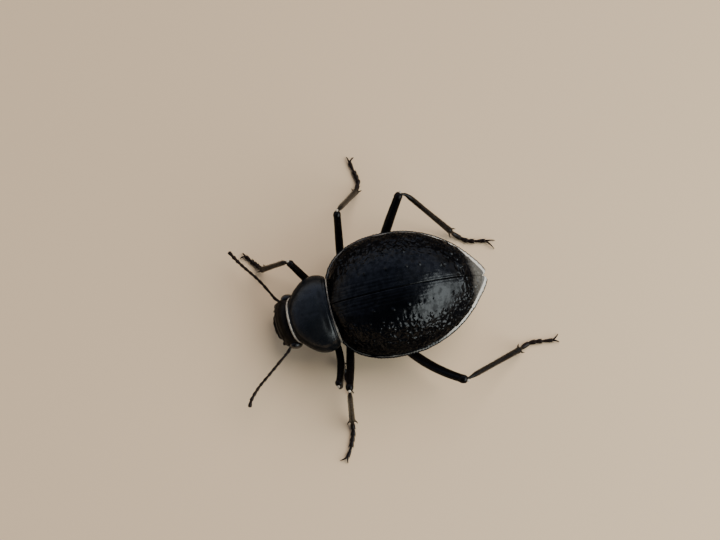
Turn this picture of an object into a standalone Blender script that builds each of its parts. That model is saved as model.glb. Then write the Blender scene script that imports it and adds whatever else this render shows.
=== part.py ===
# A long-legged darkling beetle standing still on level ground.
# Every size and position below is in millimetres; objects are made in metres.
# The floor is z = 0, the head looks toward -Y, and the beetle's own left side is +X.

import math

import bmesh
import bpy
from mathutils import Vector

mm = 0.001
clearance = 0.04
up = Vector((0.0, 0.0, 1.0))

# Hind body: wing cases above, breast and belly plates below one level cut.
hind_axis_x = 0.08
hind_front_y = -3.35
hind_nose_y = -4.4
hind_nose_ease = 0.12
hind_tip_fall = 0.5
hind_widest_y = 2.5
hind_tip_y = 11.17
hind_half_width = 5.83
rim_height = 5.1
rim_drop_at_tip = 0.3
rim_lip = 0.16
dome_rise = 5.2
dome_top_y = 3.3
belly_depth = 2.8
plate_cut_z = 4.25
seam_gap = 0.05
belly_joints_y = (-1.15, 1.62, 4.3, 6.3, 7.9, 9.15)
belly_names = ("mesothorax", "metathorax", "ventrite_1", "ventrite_2", "ventrite_3",
               "ventrite_4", "ventrite_5")

# Prothorax, from the back edge forward: share of length, half width, rise, drop.
thorax_back = Vector((0.42, -3.44, 4.95))
thorax_front = Vector((0.55, -6.68, 4.5))
thorax_front_tilt = 24.0
thorax_turn = 2.5
thorax_back_hollow = 0.026
thorax_stations = (
    (0.00, 2.95, 2.16, 1.95), (0.05, 3.28, 2.26, 2.15), (0.22, 3.56, 2.38, 2.3),
    (0.42, 3.58, 2.4, 2.3), (0.62, 3.32, 2.3, 2.15), (0.80, 2.82, 2.08, 1.85),
    (0.93, 2.32, 1.8, 1.6), (1.00, 2.06, 1.6, 1.4),
)

# Head, from the neck to the front edge: share of length, half width, half thickness.
head_back = Vector((0.47, -6.45, 4.62))
head_front = Vector((0.62, -8.2, 3.05))
head_stations = (
    (0.00, 1.7, 1.1), (0.14, 2.02, 1.38), (0.36, 2.26, 1.46), (0.60, 2.24, 1.3),
    (0.82, 2.14, 1.0), (0.95, 1.9, 0.74), (1.00, 1.62, 0.55),
)
eye_offset = Vector((2.16, -7.16, 4.15))
eye_half = Vector((0.4, 0.5, 0.62))

# Feelers: eleven joints, relative lengths, with the thickest at the end.
feeler_joints = (1.0, 0.55, 1.55, 1.05, 1.0, 0.95, 0.9, 0.85, 0.85, 0.8, 0.95)
feeler_half_thick = 0.25
feelers = {
    "right": ((-1.92, -8.22, 3.62), (-2.63, -8.66, 3.6), (-4.03, -9.49, 3.6), (-5.31, -10.45, 3.45),
              (-6.13, -11.03, 3.35), (-7.16, -11.66, 3.2)),
    "left": ((3.16, -8.02, 3.6), (3.86, -8.94, 3.45), (4.85, -10.19, 3.3), (5.84, -11.44, 3.1),
             (6.8, -12.32, 3.0), (7.4, -12.62, 2.9)),
}

# Legs. Knee and ankle are joint centres; the bow bends the middle of the thigh.
coxa_half = {"front": Vector((0.72, 0.7, 0.72)), "mid": Vector((0.74, 0.7, 0.7)),
             "hind": Vector((1.0, 0.62, 0.66))}
thigh_half_thick = {"front": 0.33, "mid": 0.37, "hind": 0.42}
knee_half_thick = {"front": 0.31, "mid": 0.33, "hind": 0.37}
shin_half_thick = 0.25
shin_tip_half_thick = 0.34
ankle_height = 0.95
foot_height = 0.25
foot_joints = {"front": (1.3, 0.8, 0.75, 0.75, 1.5), "mid": (1.5, 0.9, 0.8, 0.75, 1.5),
               "hind": (1.9, 1.0, 0.85, 1.5)}
legs = {
    "front_right": dict(
        coxa=(-0.95, -4.35, 2.85), hip=(-1.85, -4.1, 2.1), knee=(-4.85, -6.35, 5.2), bow=(0, 0, 0),
        ankle=(-5.2, -9.05), foot=((-6.0, -9.65), (-6.45, -10.05), (-6.85, -10.35)),
        claws=((-6.8, -10.95), (-7.3, -10.6))),
    "front_left": dict(
        coxa=(1.5, -4.3, 2.85), hip=(2.4, -3.75, 2.1), knee=(7.3, -4.15, 5.1), bow=(0, 0.48, -0.1),
        ankle=(5.1, -3.4), foot=((6.2, -3.3), (6.9, -3.2), (7.5, -3.15)),
        claws=((8.1, -3.4), (8.1, -2.9))),
    "mid_right": dict(
        coxa=(-1.27, -1.95, 2.5), hip=(-2.05, -1.85, 1.8), knee=(-8.35, -1.0, 6.35), bow=(0, 0, -0.15),
        ankle=(-10.75, 1.3), foot=((-11.75, 1.7), (-12.45, 1.6), (-12.9, 1.5), (-13.75, 1.3)),
        claws=((-14.45, 1.1), (-14.25, 1.8))),
    "mid_left": dict(
        coxa=(1.43, -1.95, 2.5), hip=(2.2, -2.1, 1.8), knee=(7.95, -3.25, 6.5), bow=(0, 0.1, -0.15),
        ankle=(10.6, -3.6), foot=((11.6, -3.7), (12.35, -3.95), (13.25, -4.35), (13.8, -4.7)),
        claws=((14.0, -5.5), (14.4, -4.8))),
    "hind_right": dict(
        coxa=(-1.52, 0.85, 2.5), hip=(-2.45, 1.2, 1.8), knee=(-8.8, 5.0, 6.5), bow=(-0.1, -0.1, -0.25),
        ankle=(-5.1, 9.35), foot=((-4.35, 10.2), (-3.95, 10.8), (-3.75, 11.55), (-3.6, 12.45)),
        claws=((-3.45, 13.45), (-2.65, 13.2))),
    "hind_left": dict(
        coxa=(1.68, 0.85, 2.5), hip=(2.6, 1.2, 1.8), knee=(9.25, 7.4, 5.9), bow=(0.5, -0.5, -0.15),
        ankle=(7.35, 13.3), foot=((6.95, 14.3), (6.9, 14.95), (7.0, 15.8), (7.1, 16.65)),
        claws=((6.6, 17.35), (7.4, 17.3))),
}

# Colour, roughness and metallic share of each surface.
finishes = {
    "wing_case_black": ((0.016, 0.018, 0.022), 0.34),
    "polished_black": ((0.010, 0.011, 0.014), 0.16),
    "dull_black": ((0.022, 0.019, 0.018), 0.42),
    "leg_black": ((0.014, 0.013, 0.014), 0.24),
    "feeler_brown": ((0.060, 0.030, 0.020), 0.40),
    "foot_brown": ((0.045, 0.022, 0.015), 0.38),
    "eye_black": ((0.008, 0.008, 0.010), 0.12),
}


def clear_scene():
    for thing in list(bpy.data.objects):
        bpy.data.objects.remove(thing, do_unlink=True)


def new_collection(name):
    group = bpy.data.collections.new(name)
    bpy.context.scene.collection.children.link(group)
    return group


def surface_for(name, finish):
    colour, roughness = finishes[finish]
    surface = bpy.data.materials.new(f"{finish}_{name}")
    surface.use_nodes = True
    shader = surface.node_tree.nodes["Principled BSDF"]
    shader.inputs["Base Color"].default_value = (*colour, 1.0)
    shader.inputs["Roughness"].default_value = roughness
    shader.inputs["Metallic"].default_value = 0.0
    surface.diffuse_color = (*colour, 1.0)
    return surface


def finish_mesh(name, shape, finish, group):
    bmesh.ops.recalc_face_normals(shape, faces=shape.faces)
    if shape.calc_volume(signed=True) < 0:
        bmesh.ops.reverse_faces(shape, faces=shape.faces)
    bmesh.ops.scale(shape, vec=(mm, mm, mm), verts=shape.verts)
    data = bpy.data.meshes.new(name)
    shape.to_mesh(data)
    shape.free()
    data.shade_smooth()
    data.set_sharp_from_angle(angle=math.radians(45))
    thing = bpy.data.objects.new(name, data)
    group.objects.link(thing)
    if finish is None:
        thing.hide_render = True
        thing.display_type = "WIRE"
    else:
        data.materials.append(surface_for(name, finish))
    return thing


# A ball whose rings and spokes are moved to wherever place(ring share, angle) puts them.
def shaped_ball(around, rings, place):
    shape = bmesh.new()
    bmesh.ops.create_uvsphere(shape, u_segments=around, v_segments=rings, radius=1.0)
    for point in shape.verts:
        share = math.acos(max(-1.0, min(1.0, -point.co.z))) / math.pi
        angle = math.atan2(point.co.y, point.co.x)
        point.co = place(share, angle)
    return shape


def keep_beyond(shape, point, normal):
    everything = shape.verts[:] + shape.edges[:] + shape.faces[:]
    cut = bmesh.ops.bisect_plane(shape, geom=everything, dist=1e-5, plane_co=point,
                                 plane_no=normal, clear_inner=True)
    rim = [part for part in cut["geom_cut"] if isinstance(part, bmesh.types.BMEdge)]
    bmesh.ops.holes_fill(shape, edges=rim, sides=0)


def bent_power(value, power):
    return math.copysign(abs(value) ** power, value)


def blend(rows, share):
    for low, high in zip(rows, rows[1:]):
        if share <= high[0] + 1e-9:
            part = (share - low[0]) / (high[0] - low[0])
            return [a + (b - a) * part for a, b in zip(low[1:], high[1:])]
    return list(rows[-1][1:])


# Hind body: outline from above, crown line and keel line, each from the widest point outward.
def hind_width(y):
    if y < hind_widest_y:
        part = (hind_widest_y - y) / (hind_widest_y - hind_front_y)
        return hind_half_width * max(0.0, 1 - part ** 2.2) ** 0.3125
    part = (y - hind_widest_y) / (hind_tip_y - hind_widest_y)
    return hind_half_width * max(0.0, 1 - part ** 2.08) ** 0.71


def hind_crown(y):
    if y < dome_top_y:
        part = (dome_top_y - y) / (dome_top_y - hind_nose_y)
        ease = min(1.0, max(0.0, y - hind_front_y) / hind_nose_ease) ** 0.35
        return dome_rise * ease * math.sqrt(max(0.0, 1 - part ** 2))
    part = (y - dome_top_y) / (hind_tip_y - dome_top_y)
    fall = max(0.0, min(1.0, (part - 0.7) / 0.2))
    fall = 1 - hind_tip_fall * fall * fall * (3 - 2 * fall)
    return dome_rise * max(0.0, 1 - part ** 2) ** 0.72 * fall


def hind_keel(y):
    if y < 1.5:
        part = (1.5 - y) / (1.5 - hind_front_y)
        return belly_depth * max(0.0, 1 - part ** 4) ** 0.35
    part = (y - 1.5) / (hind_tip_y - 1.5)
    return belly_depth * max(0.0, 1 - part ** 2.3) ** 0.8


def hind_rim(y):
    part = max(0.0, y - hind_widest_y) / (hind_tip_y - hind_widest_y)
    return rim_height - rim_drop_at_tip * part ** 2


def hind_body():
    def place(share, angle):
        y = hind_front_y + (hind_tip_y - hind_front_y) * (1 - math.cos(math.pi * share)) / 2
        turned = angle - 0.3 * math.sin(2 * angle)
        across, rise = math.cos(turned), math.sin(turned)
        width = hind_width(y)
        lip = rim_lip * min(1.0, width / 2.0)
        if rise >= -1e-6:
            bend, height = 2 / 2.15, hind_crown(y)
        else:
            bend, height = 2 / (1.45 + 0.4 * min(1.0, max(0.0, (y - 3.0) / 5.0))), hind_keel(y)
        x = (width - lip) * bent_power(across, bend)
        if abs(rise) < 0.02:
            x += math.copysign(lip, across)
        return Vector((hind_axis_x + x, y, hind_rim(y) + height * bent_power(rise, bend)))

    return shaped_ball(32, 22, place)


def make_hind_body(group):
    for name, side in (("elytron_right", -1), ("elytron_left", 1)):
        shape = hind_body()
        keep_beyond(shape, (0, 0, plate_cut_z + clearance / 2), (0, 0, 1))
        keep_beyond(shape, (hind_axis_x + side * seam_gap / 2, 0, 0), (side, 0, 0))
        finish_mesh(name, shape, "wing_case_black", group)
    edges = (hind_front_y - 1, *belly_joints_y, hind_tip_y + 1)
    made = {}
    for name, front, back in zip(belly_names, edges, edges[1:]):
        shape = hind_body()
        keep_beyond(shape, (0, 0, plate_cut_z - clearance / 2), (0, 0, -1))
        keep_beyond(shape, (0, front + clearance / 2, 0), (0, 1, 0))
        keep_beyond(shape, (0, back - clearance / 2, 0), (0, -1, 0))
        made[name] = finish_mesh(name, shape, "dull_black", group)
    return made


def thorax_shape():
    shares = [row[0] for row in thorax_stations]
    steps = len(shares) + 1

    def place(share, angle):
        ring = round(share * steps)
        along = shares[min(max(ring - 1, 0), len(shares) - 1)]
        width, rise, drop = blend(thorax_stations, along)
        if ring in (0, steps):
            width = rise = drop = 0.0
        tilt = math.radians(thorax_front_tilt) * along
        turn = math.radians(thorax_turn)
        forward = Vector((math.sin(turn), -math.cos(turn), 0)) * math.cos(tilt) - up * math.sin(tilt)
        side = Vector((math.cos(turn), math.sin(turn), 0))
        lift = forward.cross(side).normalized()
        lift = lift if lift.z > 0 else -lift
        across, height = math.cos(angle), math.sin(angle)
        bend = 2 / 2.1 if height >= 0 else 2 / 1.55
        size = rise if height >= 0 else drop
        centre = thorax_back.lerp(thorax_front, along)
        x = width * bent_power(across, bend)
        hollow = thorax_back_hollow * x * x * (1 - along) ** 2
        return centre + side * x + lift * size * bent_power(height, bend) - forward * hollow

    return shaped_ball(28, steps, place)


def make_thorax(group):
    return finish_mesh("pronotum", thorax_shape(), "polished_black", group)


def head_shape():
    shares = [row[0] for row in head_stations]
    steps = len(shares) + 1
    forward = (head_front - head_back).normalized()
    side = forward.cross(up).normalized() * -1
    lift = side.cross(forward)
    lift = lift if lift.z > 0 else -lift

    def place(share, angle):
        ring = round(share * steps)
        along = shares[min(max(ring - 1, 0), len(shares) - 1)]
        width, thick = blend(head_stations, along)
        if ring in (0, steps):
            width = thick = 0.0
        centre = head_back.lerp(head_front, along)
        return (centre + side * width * bent_power(math.cos(angle), 0.9)
                + lift * thick * bent_power(math.sin(angle), 0.9))

    return shaped_ball(24, steps, place)


# A rounded rod along a path, one ring of points for each row (position, half thickness).
def rod(rows, around, squash=1.0, floor=None):
    steps = len(rows) + 1
    centres = [Vector(row[0]) for row in rows]

    def place(share, angle):
        ring = min(max(round(share * steps), 0), steps)
        at = min(max(ring - 1, 0), len(rows) - 1)
        before, after = centres[max(at - 1, 0)], centres[min(at + 1, len(rows) - 1)]
        along = (after - before).normalized()
        side = along.cross(up)
        side = side.normalized() if side.length > 0.05 else Vector((1, 0, 0))
        lift = side.cross(along).normalized()
        if ring == 0:
            point = centres[0] - along * rows[0][1] * 0.45
        elif ring == steps:
            point = centres[-1] + along * rows[-1][1] * 0.45
        else:
            size = rows[at][1]
            point = (centres[at] + side * size * squash * math.cos(angle)
                     + lift * size * math.sin(angle))
        if floor is not None and point.z < floor:
            point.z = floor
        return point

    return shaped_ball(around, steps, place)


def along_path(points, share):
    points = [Vector(point) for point in points]
    spans = [(b - a).length for a, b in zip(points, points[1:])]
    reach = share * sum(spans)
    for a, b, span in zip(points, points[1:], spans):
        if reach <= span:
            return a.lerp(b, reach / span)
        reach -= span
    return points[-1]


# Bead-like rows for a jointed rod: each joint starts narrow and ends wide.
def jointed_rows(path, joints, narrow, wide, swell=0.0):
    total = sum(joints)
    rows, reach = [], 0.0
    for number, size in enumerate(joints):
        more = 1 + swell * max(0.0, number / (len(joints) - 1) - 0.55)
        for part, thick in ((0.04, narrow), (0.6, wide), (0.93, wide * 0.97)):
            rows.append((along_path(path, (reach + size * part) / total), thick * more))
        reach += size
    rows[0] = (Vector(path[0]), narrow)
    rows[-1] = (Vector(path[-1]), narrow)
    return rows


def oval(centre, half, grow=0.0, around=10, rings=7):
    centre = Vector(centre)

    def place(share, angle):
        ring = math.sin(math.pi * share)
        return centre + Vector(((half.x + grow) * ring * math.cos(angle),
                                (half.y + grow) * ring * math.sin(angle),
                                -(half.z + grow) * math.cos(math.pi * share)))

    return shaped_ball(around, rings, place)


def combine(target, tool, operation):
    change = target.modifiers.new(f"{operation.lower()}_{tool.name}", "BOOLEAN")
    change.operation = operation
    change.solver = "EXACT"
    change.object = tool


def turned_oval(centre, half, pitch, grow=0.0):
    shape = oval((0, 0, 0), half, grow)
    slope = math.radians(pitch)
    for point in shape.verts:
        x, y, z = point.co
        point.co = Vector(centre) + Vector((x, y * math.cos(slope) - z * math.sin(slope),
                                            y * math.sin(slope) + z * math.cos(slope)))
    return shape


def make_head(group, tools):
    shape = head_shape()
    neck_tilt = math.radians(thorax_front_tilt)
    turn = math.radians(thorax_turn)
    forward = Vector((math.sin(turn) * math.cos(neck_tilt), -math.cos(turn) * math.cos(neck_tilt),
                      -math.sin(neck_tilt)))
    keep_beyond(shape, thorax_front + forward * clearance, forward)
    head = finish_mesh("head", shape, "dull_black", group)
    middle = head_back.lerp(head_front, 0.5).x
    for name, side in (("right", -1), ("left", 1)):
        centre = (middle + side * eye_offset.x, eye_offset.y, eye_offset.z)
        finish_mesh(f"eye_{name}", turned_oval(centre, eye_half, 45), "eye_black", group)
        socket = finish_mesh(f"eye_socket_{name}",
                             turned_oval(centre, eye_half, 45, clearance), None, tools)
        combine(head, socket, "DIFFERENCE")
    return head


def make_mouth(group):
    forward = (head_front - head_back).normalized()
    lift = Vector((0, forward.z, -forward.y))
    tip = head_front + forward * 0.25
    lip_centre = tip + forward * 0.24 + lift * 0.16
    finish_mesh("labrum", turned_oval(lip_centre, Vector((0.78, 0.3, 0.26)), 48), "dull_black", group)
    for name, side in (("right", -1), ("left", 1)):
        base = tip + forward * 0.22 - lift * 0.42 + Vector((side * 0.95, 0, 0))
        end = tip + forward * 0.62 - lift * 0.42 + Vector((side * 0.22, 0, 0))
        bend = tip + forward * 0.62 - lift * 0.4 + Vector((side * 0.85, 0, 0))
        rows = [(base, 0.24), (base.lerp(bend, 0.5), 0.27), (bend, 0.26),
                (bend.lerp(end, 0.5), 0.2), (end, 0.12)]
        finish_mesh(f"mandible_{name}", rod(rows, 8), "polished_black", group)
        start = tip - forward * 0.15 - lift * 0.98 + Vector((side * 1.3, 0, 0))
        rows = jointed_rows((start, start + forward * 0.5 + Vector((side * 0.35, 0, 0)),
                             start + forward * 1.05 + Vector((side * 0.3, 0, 0))),
                            (0.5, 0.9, 1.0), 0.19, 0.25, swell=0.3)
        finish_mesh(f"palp_{name}", rod(rows, 7), "feeler_brown", group)
    chin_centre = tip - forward * 0.08 - lift * 1.06
    finish_mesh("mentum", turned_oval(chin_centre, Vector((0.82, 0.52, 0.26)), 45), "dull_black", group)


def make_feelers(group):
    for name, path in feelers.items():
        rows = jointed_rows(path, feeler_joints, feeler_half_thick, feeler_half_thick * 1.12, swell=0.35)
        finish_mesh(f"antenna_{name}", rod(rows, 7), "feeler_brown", group)


def leg_points(kind, leg):
    hip, knee = Vector(leg["hip"]), Vector(leg["knee"])
    ankle = Vector((*leg["ankle"], ankle_height))
    pull = (knee - hip).normalized()
    knee_end = knee - pull * 0.12
    hang = (ankle - knee).normalized()
    under = (hang - pull * hang.dot(pull)).normalized()
    shin_top = knee_end + under * (knee_half_thick[kind] + shin_half_thick + 0.03 + clearance)
    return hip, knee_end, shin_top, ankle


def make_thigh(name, kind, leg, group):
    hip, knee_end, _, _ = leg_points(kind, leg)
    bow = Vector(leg["bow"])
    thick = thigh_half_thick[kind]
    rows = []
    knee = knee_half_thick[kind]
    for share, size in ((0.0, 0.25), (0.03, 0.32), (0.08, 0.31), (0.13, thick * 0.88), (0.3, thick),
                        (0.5, thick * 1.04), (0.7, thick * 0.98), (0.88, thick * 0.88),
                        (0.96, knee), (1.0, knee * 0.86)):
        rows.append((hip.lerp(knee_end, share) + bow * 4 * share * (1 - share), size))
    finish_mesh(f"femur_{name}", rod(rows, 9, squash=0.95), "leg_black", group)


def make_shin(name, kind, leg, group, tools):
    _, _, shin_top, ankle = leg_points(kind, leg)
    rows = []
    for share, size in ((0.0, shin_half_thick * 0.85), (0.03, shin_half_thick * 1.1),
                        (0.1, shin_half_thick * 0.97), (0.4, shin_half_thick),
                        (0.75, shin_half_thick * 1.12), (0.95, shin_tip_half_thick),
                        (1.0, shin_tip_half_thick * 0.86)):
        rows.append((shin_top.lerp(ankle, share), size))
    shin = finish_mesh(f"tibia_{name}", rod(rows, 8), "leg_black", group)
    down = (ankle - shin_top).normalized()
    ahead = Vector((leg["foot"][0][0] - ankle.x, leg["foot"][0][1] - ankle.y, 0)).normalized()
    across = ahead.cross(up).normalized()
    for number, side in enumerate((-1, 1), 1):
        start = ankle - down * 0.1 + across * side * 0.16
        end = ankle + across * side * 0.52 + ahead * 0.3 - up * 0.52
        spur = finish_mesh(f"spur_{number}_{name}",
                           rod([(start, 0.15), (start.lerp(end, 0.5), 0.14), (end, 0.07)], 6),
                           None, tools)
        combine(shin, spur, "UNION")


def make_foot(name, kind, leg, group):
    ankle = leg_points(kind, leg)[3]
    ahead = Vector((leg["foot"][0][0] - ankle.x, leg["foot"][0][1] - ankle.y, 0)).normalized()
    start = ankle + ahead * 0.42 - up * 0.52
    path = [start] + [Vector((x, y, foot_height)) for x, y in leg["foot"]]
    rows = jointed_rows(path, foot_joints[kind], 0.24, 0.29)
    finish_mesh(f"tarsus_{name}", rod(rows, 7, floor=0.0), "foot_brown", group)
    end = path[-1]
    along = (path[-1] - path[-2]).normalized()
    base = end + along * (0.13 + 0.21 + clearance) + up * 0.06
    rows = []
    for tip, back in ((leg["claws"][0], False), (leg["claws"][1], True)):
        point = Vector((*tip, 0.12))
        side = [(point, 0.07), (base.lerp(point, 0.62) + up * 0.13, 0.13),
                (base.lerp(point, 0.25) + up * 0.08, 0.17)]
        rows += side[::-1] if back else side + [(base, 0.19)]
    finish_mesh(f"claws_{name}", rod(rows, 6, floor=0.0), "foot_brown", group)


def make_legs(group, tools, bodies):
    for name, leg in legs.items():
        kind = name.split("_")[0]
        coxa = leg["coxa"]
        finish_mesh(f"coxa_{name}", oval(coxa, coxa_half[kind]), "leg_black", group)
        socket = finish_mesh(f"coxa_socket_{name}", oval(coxa, coxa_half[kind], clearance),
                             None, tools)
        combine(bodies[kind], socket, "DIFFERENCE")
        make_thigh(name, kind, leg, group)
        make_shin(name, kind, leg, group, tools)
        make_foot(name, kind, leg, group)


# The finished beetle stands on the floor with the middle of its outer box over the origin.
def centre_on_floor(group, tools):
    bpy.context.view_layer.update()
    corners = [point.co for thing in group.objects for point in thing.data.vertices]
    low = Vector([min(c[i] for c in corners) for i in range(3)])
    high = Vector([max(c[i] for c in corners) for i in range(3)])
    move = Vector((-(low.x + high.x) / 2, -(low.y + high.y) / 2, -low.z))
    for thing in list(group.objects) + list(tools.objects):
        for point in thing.data.vertices:
            point.co += move


def build():
    clear_scene()
    group = new_collection("darkling_beetle")
    tools = new_collection("cutters")
    tools.hide_render = True
    bodies = make_hind_body(group)
    thorax = make_thorax(group)
    make_head(group, tools)
    make_mouth(group)
    make_feelers(group)
    make_legs(group, tools, {"front": thorax, "mid": bodies["mesothorax"],
                             "hind": bodies["metathorax"]})
    centre_on_floor(group, tools)


build()
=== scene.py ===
# A long-legged darkling beetle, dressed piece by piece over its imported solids.
# Shapes are worked out in millimetres and become metres when a piece is finished.
import math
import random

import bmesh
import bpy
from mathutils import Matrix, Vector, kdtree, noise


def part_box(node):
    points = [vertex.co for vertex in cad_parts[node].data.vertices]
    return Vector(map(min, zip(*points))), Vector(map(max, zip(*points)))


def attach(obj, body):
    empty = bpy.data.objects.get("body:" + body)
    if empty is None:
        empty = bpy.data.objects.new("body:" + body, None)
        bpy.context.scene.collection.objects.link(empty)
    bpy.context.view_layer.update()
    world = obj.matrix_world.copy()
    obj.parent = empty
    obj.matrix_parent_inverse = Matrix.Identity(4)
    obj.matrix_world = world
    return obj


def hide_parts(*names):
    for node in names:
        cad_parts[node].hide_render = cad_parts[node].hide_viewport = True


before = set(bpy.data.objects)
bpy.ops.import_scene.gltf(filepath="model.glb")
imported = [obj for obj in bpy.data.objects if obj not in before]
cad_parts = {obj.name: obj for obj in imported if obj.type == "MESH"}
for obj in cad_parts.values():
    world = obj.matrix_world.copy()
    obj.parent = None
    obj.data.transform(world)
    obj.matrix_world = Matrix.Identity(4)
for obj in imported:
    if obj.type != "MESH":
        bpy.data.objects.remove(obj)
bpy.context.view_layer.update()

mm = 0.001
up = Vector((0.0, 0.0, 1.0))
sides = (("right", -1), ("left", 1))

# Wing cases: outline from above, crown line and the fold below the rim.
wingCases = {
    "axisX": 0.08, "frontY": -3.35, "widestY": 2.5, "tipY": 11.17, "tipEdgeY": 11.165,
    "halfWidth": 5.83, "rimZ": 5.1, "rimDrop": 0.3, "rimLip": 0.31,
    "rise": 5.2, "topY": 3.3, "belly": 2.8, "cutZ": 4.27, "seamDepth": 0.05,
    "noseY": -4.4, "noseEase": 0.12, "tipFall": 0.5,
    "alongSteps": 420, "acrossSteps": 184, "rimShare": 0.87, "roundness": 2.15,
    "rowShares": (0.32, 0.6, 0.84), "knobSpacing": 1.5, "knobSize": (0.1, 0.135),
    "knobHeight": (0.075, 0.115), "grainCount": 420, "wrinkle": 0.105, "wave": 0.03,
    # widths of the pale strip along the rim, a painted highlight with pale dust
    "rimHighlightAndDust": (0.045, 0.12), "tipNotch": 0.2,
    # place from above, size, depth
    "dents": ((1.7, 4.71, 0.17, 0.06), (1.7, 5.71, 0.2, 0.07), (1.4, 7.75, 0.16, 0.05),
              (1.62, 6.29, 0.11, 0.03), (2.9, 6.4, 0.2, 0.05), (2.3, 3.1, 0.16, 0.04),
              (1.1, 0.6, 0.18, 0.035), (-1.2, 2.1, 0.2, 0.04), (-2.1, 4.6, 0.18, 0.045),
              (-1.1, 7.4, 0.16, 0.05), (-2.5, 6.4, 0.15, 0.04), (-1.9, -0.4, 0.2, 0.04)),
    # lines beside the seam, from the front
    "seamLines": (0.5, 0.8, 1.15),
}

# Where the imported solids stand, against the drawing's own zero.
leftBox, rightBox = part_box("elytron_left"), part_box("elytron_right")
shift = Vector(((leftBox[0].x + rightBox[1].x) / 2 / mm - wingCases["axisX"],
                leftBox[1].y / mm - wingCases["tipEdgeY"], 0.0))


def smoothStep(low, high, value):
    part = max(0.0, min(1.0, (value - low) / (high - low)))
    return part * part * (3 - 2 * part)


def hill(distance, width):
    return math.exp(-(distance / width) ** 2)


def bentPower(value, power):
    return math.copysign(abs(value) ** power, value)


def stretched(point, x, y, z):
    return Vector((point.x * x, point.y * y, point.z * z))


# Near 1 in the middle of each cell of a random pattern.
def pitAt(point, width):
    return hill(noise.voronoi(point)[0][0], width)


# Near 1 along the lines between the cells.
def ridgeAt(point, width):
    gaps = noise.voronoi(point)[0]
    return hill(gaps[1] - gaps[0], width)


# A plain surface for carve: soft waves less fine pits, each by its height and its scale.
def grain(wave, waveScale, pit=0.0, pitScale=1.0):
    return lambda point, share, angle: (wave * noise.noise(point * waveScale)
                                        - pit * pitAt(point * pitScale, 0.3))


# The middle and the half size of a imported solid, on the drawing.
def packedOval(node):
    low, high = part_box(node)
    return (low + high) / 2 / mm - shift, (high - low) / 2 / mm


# How far out a point lies, where 1 is an oval's surface.
def ovalReach(point, centre, half):
    return Vector([(a - b) / c for a, b, c in zip(point, centre, half)]).length


# A smooth reading between rows of (share, value, value, ...).
def readRows(rows, share):
    last = len(rows) - 1
    at = 0
    while at < last - 1 and share > rows[at + 1][0]:
        at += 1
    low, high = rows[at], rows[at + 1]
    span = high[0] - low[0]
    part = max(0.0, min(1.0, (share - low[0]) / span))
    before, after = rows[max(at - 1, 0)], rows[min(at + 2, last)]
    values = []
    for k in range(1, len(low)):
        slopeLow = (high[k] - before[k]) / max(high[0] - before[0], 1e-6) * span
        slopeHigh = (after[k] - low[k]) / max(after[0] - low[0], 1e-6) * span
        a, b = part * part, part * part * part
        values.append((2 * b - 3 * a + 1) * low[k] + (b - 2 * a + part) * slopeLow
                      + (3 * a - 2 * b) * high[k] + (b - a) * slopeHigh)
    return values


# A smooth line through points, read by the share of its length.
def makeLine(points):
    points = [Vector(point) for point in points]
    reach = [0.0]
    for a, b in zip(points, points[1:]):
        reach.append(reach[-1] + (b - a).length)
    rows = [(way / reach[-1], *point) for way, point in zip(reach, points)]
    known = {}

    def at(share):
        share = round(max(0.0, min(1.0, share)), 5)
        if share not in known:
            known[share] = Vector(readRows(rows, share))
        return known[share].copy()

    return at


# A ball whose rings are reshaped: ringAt(share) gives the function that places a ring's points by angle.
def shapedBall(around, rings, ringAt):
    shape = bmesh.new()
    bmesh.ops.create_uvsphere(shape, u_segments=around, v_segments=rings, radius=1.0)
    marks, ready = [], {}
    for point in shape.verts:
        ring = round(math.acos(max(-1.0, min(1.0, -point.co.z))) / math.pi * rings)
        if ring not in ready:
            ready[ring] = ringAt(ring / rings)
        angle = math.atan2(point.co.y, point.co.x)
        marks.append((ring / rings, angle))
        point.co = ready[ring](angle)
    return shape, marks


def faceOutwards(shape):
    bmesh.ops.recalc_face_normals(shape, faces=shape.faces)
    if shape.calc_volume(signed=True) < 0:
        bmesh.ops.reverse_faces(shape, faces=shape.faces)


# Turns a sheet so that its top faces up, or its bottom down where the way is -1.
def faceSheet(shape, way):
    shape.normal_update()
    if max(shape.verts, key=lambda point: way * point.co.z).normal.z * way < 0:
        bmesh.ops.reverse_faces(shape, faces=shape.faces)
        shape.normal_update()


# Pushes every point along its normal, and keeps the amount for the finish, where scale is the most; the
# finish paints raised places lighter and hollows darker, as painted highlight and shade.
def pushOut(shape, moves, scale):
    layer = shape.verts.layers.float.new("relief")
    for point, move in zip(shape.verts, moves):
        point.co += point.normal * move
        point[layer] = max(-1.0, min(1.0, move / scale))


# Pushes a closed shape's points by relief(place, share, angle).
def carve(shape, marks, relief, scale):
    faceOutwards(shape)
    shape.normal_update()
    pushOut(shape, [relief(point.co, *mark) for point, mark in zip(shape.verts, marks)], scale)


def finishPiece(name, shape, finish, nodes=()):
    faceOutwards(shape)
    for point in shape.verts:
        point.co.z = max(point.co.z, 0.0)
    bmesh.ops.translate(shape, vec=shift, verts=shape.verts)
    bmesh.ops.scale(shape, vec=(mm, mm, mm), verts=shape.verts)
    data = bpy.data.meshes.new(name)
    shape.to_mesh(data)
    shape.free()
    data.shade_smooth()
    piece = bpy.data.objects.new(name, data)
    bpy.context.scene.collection.objects.link(piece)
    data.materials.append(finishes[finish])
    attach(piece, "root")
    if nodes:
        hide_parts(*nodes)


def newShape():
    shape = bmesh.new()
    shape.verts.layers.float.new("relief")
    return shape


# Closes the open side of a shape with one flat face.
def fillBorder(shape):
    border = [edge for edge in shape.edges if edge.is_boundary]
    bmesh.ops.holes_fill(shape, edges=border, sides=0)
    bmesh.ops.triangulate(shape, faces=[face for face in shape.faces if len(face.verts) > 4])


# Adds a second shape to the first and frees the second.
def joinInto(target, extra):
    kept = bpy.data.meshes.new("joining")
    extra.to_mesh(kept)
    extra.free()
    target.from_mesh(kept)
    bpy.data.meshes.remove(kept)


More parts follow.
